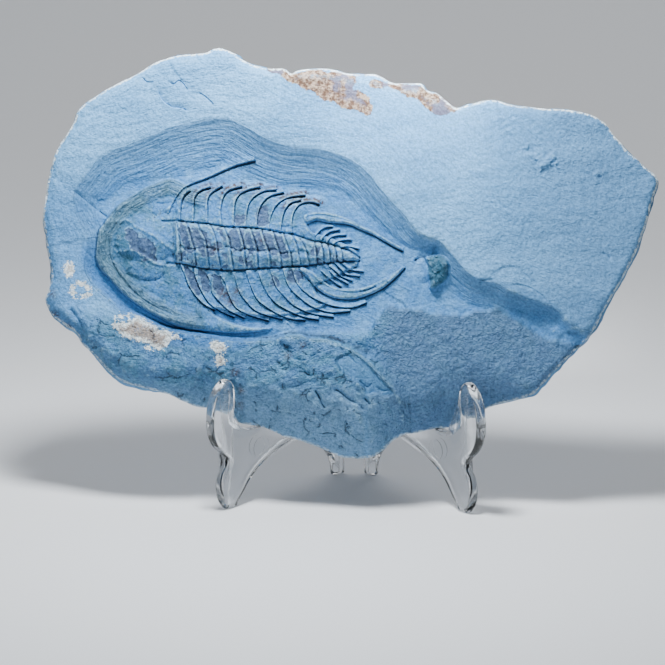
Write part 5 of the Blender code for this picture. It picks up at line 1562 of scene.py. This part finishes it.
def calc(tree, operation, first, second=0.0):
    """Arithmetic on two values."""
    made = put(tree, "ShaderNodeMath", operation=operation)
    for socket, value in zip(made.inputs, (first, second)):
        if isinstance(value, bpy.types.NodeSocket):
            tree.links.new(value, socket)
        else:
            socket.default_value = value
    return made.outputs["Value"]


def times(tree, first, second):
    """Two values multiplied."""
    return calc(tree, "MULTIPLY", first, second)


def plus(tree, first, second):
    """Two values added."""
    return calc(tree, "ADD", first, second)


def minus(tree, first, second):
    """The second value taken from the first."""
    return calc(tree, "SUBTRACT", first, second)


def blend(tree, share, first, second, mode="MIX"):
    """Two colours mixed by a share."""
    return put(tree, "ShaderNodeMixRGB", {"Fac": share, "Color1": first, "Color2": second},
               blend_type=mode).outputs["Color"]


def tint(tree, colour, name, share, other):
    """A colour blended towards another one where a mask is, up to a share."""
    return blend(tree, times(tree, mask(tree, name), share), colour, other)


def shade(red, green, blue):
    """A colour from its three parts."""
    return (red, green, blue, 1.0)


# Colours, as linear red, green and blue
STONE_LIGHT = shade(0.15, 0.39, 0.70)
STONE_DARK = shade(0.07, 0.235, 0.48)
# Painted shade, greyer, where the light falls off at the right end
FALLOFF_SHADE_GREY = shade(0.075, 0.19, 0.37)
STONE_WORKED = shade(0.04, 0.185, 0.46)
# Painted shade on the carved slopes
SLOPE_SHADE = shade(0.04, 0.135, 0.30)
# Painted shade on the trail's slope and the facets
FACET_SHADE = shade(0.042, 0.155, 0.34)
# Painted shade beside the head
MOAT_SHADE = shade(0.034, 0.17, 0.45)
STONE_ROUGH = shade(0.048, 0.158, 0.34)
STONE_MOSS = shade(0.058, 0.20, 0.345)
# Painted light on the lump's lower bulge
FOOT_LIGHT = shade(0.155, 0.31, 0.50)
STONE_FLAT = shade(0.072, 0.155, 0.29)
ANIMAL_SKIN = shade(0.04, 0.145, 0.235)
TEAL = shade(0.026, 0.105, 0.175)
BAND_GREY = shade(0.075, 0.17, 0.245)
AXIS_PALE = shade(0.11, 0.20, 0.24)
IRON = shade(0.062, 0.030, 0.018)
PLUM = shade(0.016, 0.034, 0.105)
PLUM_PALE = shade(0.045, 0.085, 0.19)
RUST = shade(0.12, 0.062, 0.036)
RUST_PALE = shade(0.38, 0.29, 0.22)
CRUST_GREY = shade(0.11, 0.115, 0.18)
CHALK = shade(0.72, 0.80, 0.82)
TAN = shade(0.34, 0.30, 0.27)
# Painted shade for grooves, cracks and small pits
CREVICE_SHADE = shade(0.006, 0.018, 0.04)
# Pale flecks and rings of the skin, and painted highlight on crests
PALE_AND_HIGHLIGHT = shade(0.235, 0.46, 0.64)
# Painted highlight along the broken edge of the face
EDGE_HIGHLIGHT = shade(0.70, 0.84, 0.92)
PLASTIC = shade(0.96, 0.98, 1.0)
PAPER = shade(0.80, 0.82, 0.85)
SKY = shade(0.80, 0.86, 0.92)

PLASTIC_IOR = 1.49
PLASTIC_ROUGHNESS = 0.03

# Sizes in mm of the stone's grain, from clouds of colour down to single specks
CLOUD = 42
MOTTLE = 7
LAYER = 9.0
FINE = 1.6
SPECK = 1.1
CRACK_SIZE = 9.0

# How far in metres the finest relief stands out
BUMP_REACH = 0.0012


def terraces(tree):
    """Fine lines that run round the animal's head, as on its rim."""
    rings = put(tree, "ShaderNodeCombineXYZ", {
        "X": times(tree, mask(tree, "body_along"), 0.2),
        "Y": times(tree, mask(tree, "body_across"), 1.1)})
    made = put(tree, "ShaderNodeTexNoise", {
        "Vector": rings.outputs["Vector"], "Scale": 1.0, "Detail": 4.0, "Roughness": 0.6})
    return made.outputs["Fac"]


def cracks(tree, size, thin):
    """Short dark cracks, 1 in a crack, that wander and break off."""
    place = put(tree, "ShaderNodeTexCoord").outputs["Object"]
    bent = put(tree, "ShaderNodeTexNoise", {"Vector": place, "Scale": 1500 / size, "Detail": 3.0})
    moved = put(tree, "ShaderNodeMixRGB", {
        "Fac": 0.004, "Color1": place, "Color2": bent.outputs["Color"]}).outputs["Color"]
    cells = put(tree, "ShaderNodeTexVoronoi", {"Vector": moved, "Scale": 1000 / size},
                feature="DISTANCE_TO_EDGE")
    open_here = spread(tree, grain(tree, size * 0.8, 3, 0.6), 0.53, 0.6)
    line = spread(tree, cells.outputs["Distance"], thin, thin * 0.3)
    return times(tree, line, open_here)


def bare_stone(tree):
    """The colour of the stone: natural, carved, broken and granular parts, with painted shade beside the
    head, on facets that face away and towards the right end, and painted light on the lump's foot.
    """
    cloudy = grain(tree, CLOUD, 4)
    mottled = grain(tree, MOTTLE, 5, 0.6)
    fine = grain(tree, FINE, 4, 0.65)
    colour = blend(tree, spread(tree, cloudy, 0.35, 0.65), STONE_DARK, STONE_LIGHT)
    colour = blend(tree, 0.55, colour, STONE_LIGHT)
    streaks = spread(tree, grain(tree, LAYER, 5, 0.6, (0.3, 1.0, 1.0)), 0.45, 0.7)
    colour = blend(tree, times(tree, streaks, 0.22), colour, STONE_DARK)
    # Painted shade: darker and greyer towards the right end, as the light falls off
    colour = tint(tree, colour, "right_end_shade", 0.6, FALLOFF_SHADE_GREY)
    worked = blend(tree, spread(tree, mottled, 0.4, 0.65, 0.0, 0.4), STONE_WORKED, STONE_LIGHT)
    colour = tint(tree, colour, "low", 0.85, worked)
    rough = blend(tree, spread(tree, mottled, 0.4, 0.62), STONE_ROUGH, STONE_MOSS)
    rough = blend(tree, spread(tree, fine, 0.5, 0.7, 0.0, 0.55), rough, STONE_LIGHT)
    # Dark spots of painted shade in small pits of the broken stone
    rough = blend(tree, spread(tree, grain(tree, 2.6, 4, 0.7), 0.42, 0.3, 0.0, 0.7), rough, CREVICE_SHADE)
    rough = tint(tree, rough, "flat", 0.75, STONE_FLAT)
    # Painted light: the lump's lower bulge, which faces down, made paler
    rough = tint(tree, rough, "lump_foot_light", 0.7, FOOT_LIGHT)
    colour = tint(tree, colour, "rough", 0.9, rough)
    # Painted shade beside the head and towards the lower left edge
    colour = tint(tree, colour, "moat_shade", 0.85, MOAT_SHADE)
    # Painted shade on the trail's slope and the facets that face away from the light
    dark = plus(tree, mask(tree, "dark"), times(tree, mottled, 2.0))
    colour = blend(tree, spread(tree, dark, 0.6, 1.6, 0.0, 0.5), colour, FACET_SHADE)
    skin = blend(tree, spread(tree, mottled, 0.35, 0.6), ANIMAL_SKIN, STONE_WORKED)
    skin = blend(tree, spread(tree, fine, 0.5, 0.68, 0.0, 0.4), skin, PALE_AND_HIGHLIGHT)
    beige = times(tree, spread(tree, grain(tree, 3.4, 4, 0.65), 0.47, 0.6), mask(tree, "axis"))
    skin = blend(tree, times(tree, beige, 0.6), skin, AXIS_PALE)
    colour = tint(tree, colour, "animal", 0.8, skin)
    colour = tint(tree, colour, "teal", 0.6, TEAL)
    ringed = blend(tree, spread(tree, terraces(tree), 0.42, 0.58), TEAL, PALE_AND_HIGHLIGHT)
    ringed = blend(tree, 0.55, ringed, BAND_GREY)
    return tint(tree, colour, "band", 0.6, ringed)


def stained(tree, colour):
    """Flaked plum patches, iron on the spine tips, brown crust and pale patches."""
    frayed = times(tree, minus(tree, grain(tree, FINE, 4, 0.65), 0.5), 1.4)
    flaked = plus(tree, mask(tree, "plum"), frayed)
    halo = spread(tree, flaked, -0.45, -0.1)
    colour = blend(tree, times(tree, halo, 0.25), colour, PALE_AND_HIGHLIGHT)
    plum = blend(tree, spread(tree, grain(tree, 2.0, 4, 0.7), 0.4, 0.56), PLUM, PLUM_PALE)
    colour = blend(tree, times(tree, spread(tree, flaked, -0.05, 0.2), 0.85), colour, plum)
    fine = grain(tree, 1.3, 4, 0.7)
    iron = times(tree, mask(tree, "iron"), spread(tree, fine, 0.4, 0.52))
    colour = blend(tree, times(tree, iron, 0.95), colour, IRON)

    wavy = times(tree, minus(tree, grain(tree, 5, 5, 0.65), 0.5), 6.0)
    crust = spread(tree, plus(tree, mask(tree, "crust"), wavy), -0.3, 0.15)
    crusty = blend(tree, spread(tree, grain(tree, 2.2, 4, 0.7), 0.42, 0.62), RUST, RUST_PALE)
    crusty = blend(tree, spread(tree, grain(tree, 9, 3), 0.52, 0.62), crusty, CRUST_GREY)
    colour = blend(tree, crust, colour, crusty)
    chalky = times(tree, minus(tree, grain(tree, 1.7, 5, 0.75), 0.5), 9.0)
    found = plus(tree, mask(tree, "pale"), chalky)
    pale = blend(tree, spread(tree, found, 1.2, 2.6), CHALK, TAN)
    pale = blend(tree, spread(tree, fine, 0.5, 0.66, 0.0, 0.5), pale, STONE_ROUGH)
    return blend(tree, spread(tree, found, -0.1, 0.2), colour, pale)


def stone_material():
    """Blue-grey shale: natural, carved and broken surfaces, the fossil and its stains, with painted
    shade in grooves, cracks and on slopes, and painted highlight on crests and along the edge.
    """
    material = bpy.data.materials.new("shale")
    material.use_nodes = True
    tree = material.node_tree
    shader = tree.nodes["Principled BSDF"]
    colour = stained(tree, bare_stone(tree))

    fine = grain(tree, FINE, 4, 0.65)
    place = put(tree, "ShaderNodeTexCoord").outputs["Object"]
    # Painted highlight along the face's broken edge, stronger higher up the slab
    upward = put(tree, "ShaderNodeSeparateXYZ", {"Vector": place}).outputs["Z"]
    rim = times(tree, mask(tree, "rim"), spread(tree, fine, 0.36, 0.6, 0.35, 1.0))
    rim = times(tree, spread(tree, rim, 0.3, 0.65), spread(tree, upward, 0.06, 0.18, 0.5, 1.0))
    colour = blend(tree, rim, colour, EDGE_HIGHLIGHT)
    # Painted shade on the carved slopes down to the floor, which face away from the light
    slope_shading = spread(tree, mask(tree, "slope"), 0.0, 0.95, 0.0, 0.35)
    colour = blend(tree, times(tree, slope_shading, mask(tree, "bare")), colour, SLOPE_SHADE)

    # Painted shade in grooves: the further a point lies below its surroundings, the darker
    grooves = spread(tree, mask(tree, "grooves"), 0.08, 0.5)
    colour = blend(tree, times(tree, grooves, 0.85), colour, CREVICE_SHADE)
    # Painted shade in the cracks of the broken stone
    split = times(tree, cracks(tree, CRACK_SIZE, 0.045), mask(tree, "broken"))
    colour = blend(tree, times(tree, split, 0.7), colour, CREVICE_SHADE)
    # Painted highlight on crests, where a point stands above its surroundings, weaker off the animal
    high = spread(tree, mask(tree, "grooves"), -0.05, -0.26)
    crest_highlights = times(tree, high, spread(tree, fine, 0.35, 0.6))
    allowed = spread(tree, mask(tree, "animal"), 0.0, 1.0, 0.5, 0.8)
    colour = blend(tree, times(tree, crest_highlights, allowed), colour, PALE_AND_HIGHLIGHT)
    speck = spread(tree, grain(tree, SPECK, 3, 0.75), 0.32, 0.68, 0.74, 1.24)
    grey = put(tree, "ShaderNodeCombineXYZ", {"X": speck, "Y": speck, "Z": speck}).outputs["Vector"]
    colour = blend(tree, 1.0, colour, grey, "MULTIPLY")
    tree.links.new(colour, shader.inputs["Base Color"])

    tree.links.new(spread(tree, fine, 0.3, 0.7, 0.6, 0.8), shader.inputs["Roughness"])
    shader.inputs["Specular IOR Level"].default_value = 0.35
    tree.links.new(stone_bump(tree), shader.inputs["Normal"])
    return material


def stone_bump(tree):
    """Grain, tool marks and broken texture too fine for the mesh."""
    lines = put(tree, "ShaderNodeCombineXYZ", {
        "X": times(tree, mask(tree, "slope_along"), 0.075),
        "Y": times(tree, mask(tree, "slope_across"), 0.62)})
    strokes = put(tree, "ShaderNodeTexNoise", {
        "Vector": lines.outputs["Vector"], "Scale": 1.0, "Detail": 4.0, "Roughness": 0.6})
    animal = mask(tree, "animal")
    gritty = mask(tree, "gritty")
    bare = minus(tree, 1.0, animal)
    parts = (
        (strokes.outputs["Fac"], spread(tree, mask(tree, "slope"), 0.0, 0.25, 0.25, 1.0), 1.8),
        (layers(tree, grain(tree, LAYER, 5, 0.6, (0.45, 1.0, 1.0)), 14.0), bare, 0.12),
        (grain(tree, 2.2, 3, 0.5), 1.0, 0.55),
        (layers(tree, grain(tree, 5.0, 4, 0.6, (0.6, 1.0, 1.0)), 9.0), gritty, 0.42),
        (grain(tree, 1.7, 3, 0.6), gritty, 1.4),
        (layers(tree, grain(tree, 3.2, 4, 0.6), 7.0), animal, 0.14),
        (terraces(tree), mask(tree, "band"), 2.2),
        (cracks(tree, CRACK_SIZE, 0.07), mask(tree, "broken"), -0.7),
    )
    total = 0.0
    for pattern, where, height in parts:
        total = plus(tree, total, times(tree, times(tree, pattern, where), height))
    bump = put(tree, "ShaderNodeBump", {"Height": total, "Strength": 1.0, "Distance": BUMP_REACH})
    return bump.outputs["Normal"]


def plastic_material():
    """Clear moulded plastic."""
    found = bpy.data.materials.get("clear_moulding")
    if found:
        return found
    material = bpy.data.materials.new("clear_moulding")
    material.use_nodes = True
    tree = material.node_tree
    shader = tree.nodes["Principled BSDF"]
    shader.inputs["Base Color"].default_value = PLASTIC
    shader.inputs["Transmission Weight"].default_value = 1.0
    shader.inputs["IOR"].default_value = PLASTIC_IOR
    shader.inputs["Roughness"].default_value = PLASTIC_ROUGHNESS
    ripple = grain(tree, 14, 2)
    bump = put(tree, "ShaderNodeBump", {"Height": ripple, "Strength": 0.12, "Distance": 0.0008})
    tree.links.new(bump.outputs["Normal"], shader.inputs["Normal"])
    return material


def plain_material(name, colour, roughness):
    """A plain surface for the studio."""
    material = bpy.data.materials.new(name)
    material.use_nodes = True
    shader = material.node_tree.nodes["Principled BSDF"]
    shader.inputs["Base Color"].default_value = colour
    shader.inputs["Roughness"].default_value = roughness
    return material


# Scene


def add_camera(stand):
    """The camera where the photograph was taken from."""
    camera = bpy.data.objects.new("camera", bpy.data.cameras.new("camera"))
    bpy.context.scene.collection.objects.link(camera)
    camera.location = Vector(CAMERA_PLACE) * MM + stand
    turn = Matrix.Rotation(math.radians(CAMERA_TURN), 4, "Z")
    tip = Matrix.Rotation(math.radians(90 - CAMERA_DOWN), 4, "X")
    roll = Matrix.Rotation(math.radians(CAMERA_ROLL), 4, "Z")
    camera.rotation_euler = (turn @ tip @ roll).to_euler()
    camera.data.lens = CAMERA_LENS
    camera.data.sensor_width = 36.0
    bpy.context.scene.camera = camera


def add_stone(stand):
    """The stone in its place on the legs."""
    stone = link_mesh("shale_slab", stone_mesh())
    lean = Matrix.Rotation(math.pi / 2 - LEAN, 4, "X")
    stone.matrix_world = Matrix.Translation(stand + Vector((0, FACE_FOOT_Y * MM, 0))) @ lean
    stone.data.transform(stone.matrix_world)
    stone.matrix_world = Matrix.Identity(4)
    stone.data.materials.append(stone_material())
    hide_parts("fossil_slab")
    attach(stone, STONE_BODY)


def add_light(name, place, aim, size, power, colour, fan):
    """A soft square light that faces a point, fanning out by so many degrees."""
    lamp = bpy.data.lights.new(name, "AREA")
    lamp.energy = power
    lamp.color = colour
    lamp.shape = "RECTANGLE"
    lamp.size, lamp.size_y = size
    lamp.spread = math.radians(fan)
    made = bpy.data.objects.new(name, lamp)
    bpy.context.scene.collection.objects.link(made)
    made.location = place
    made.rotation_euler = (Vector(aim) - Vector(place)).to_track_quat("-Z", "Y").to_euler()


def add_studio():
    """A plain pale floor that curves up behind, and soft light."""
    profile = [(FLOOR_FRONT, 0.0), (FLOOR_BACK, 0.0)]
    for turn in np.linspace(0.15, math.pi / 2, 12):
        profile.append((FLOOR_BACK + FLOOR_BEND * math.sin(turn), FLOOR_BEND * (1 - math.cos(turn))))
    profile.append((FLOOR_BACK + FLOOR_BEND, FLOOR_TOP))
    sweep = bmesh.new()
    rows = [[sweep.verts.new((x, y, z)) for y, z in profile] for x in (-FLOOR_HALF, FLOOR_HALF)]
    for k in range(len(profile) - 1):
        sweep.faces.new((rows[0][k], rows[1][k], rows[1][k + 1], rows[0][k + 1]))
    floor = link_mesh("floor", finished(sweep, "floor"))
    floor.data.shade_smooth()
    floor.data.materials.append(plain_material("paper", PAPER, 0.8))
    for lamp in LAMPS:
        add_light(*lamp)
    world = bpy.data.worlds.new("studio")
    world.use_nodes = True
    world.node_tree.nodes["Background"].inputs["Color"].default_value = SKY
    world.node_tree.nodes["Background"].inputs["Strength"].default_value = SKY_STRENGTH
    bpy.context.scene.world = world


def main():
    """Dress the frame."""
    hinge = Vector(frame["joints"][0]["pos_m"])
    stand = Vector((hinge.x, hinge.y - HINGE_Y * MM, 0))
    add_camera(stand)
    add_stone(stand)
    make_leg("left_leg_moulding", "stand_left_leg", STONE_BODY, -1, stand)
    make_leg("right_leg_moulding", "stand_right_leg", RIGHT_BODY, 1, stand)
    add_studio()


main()
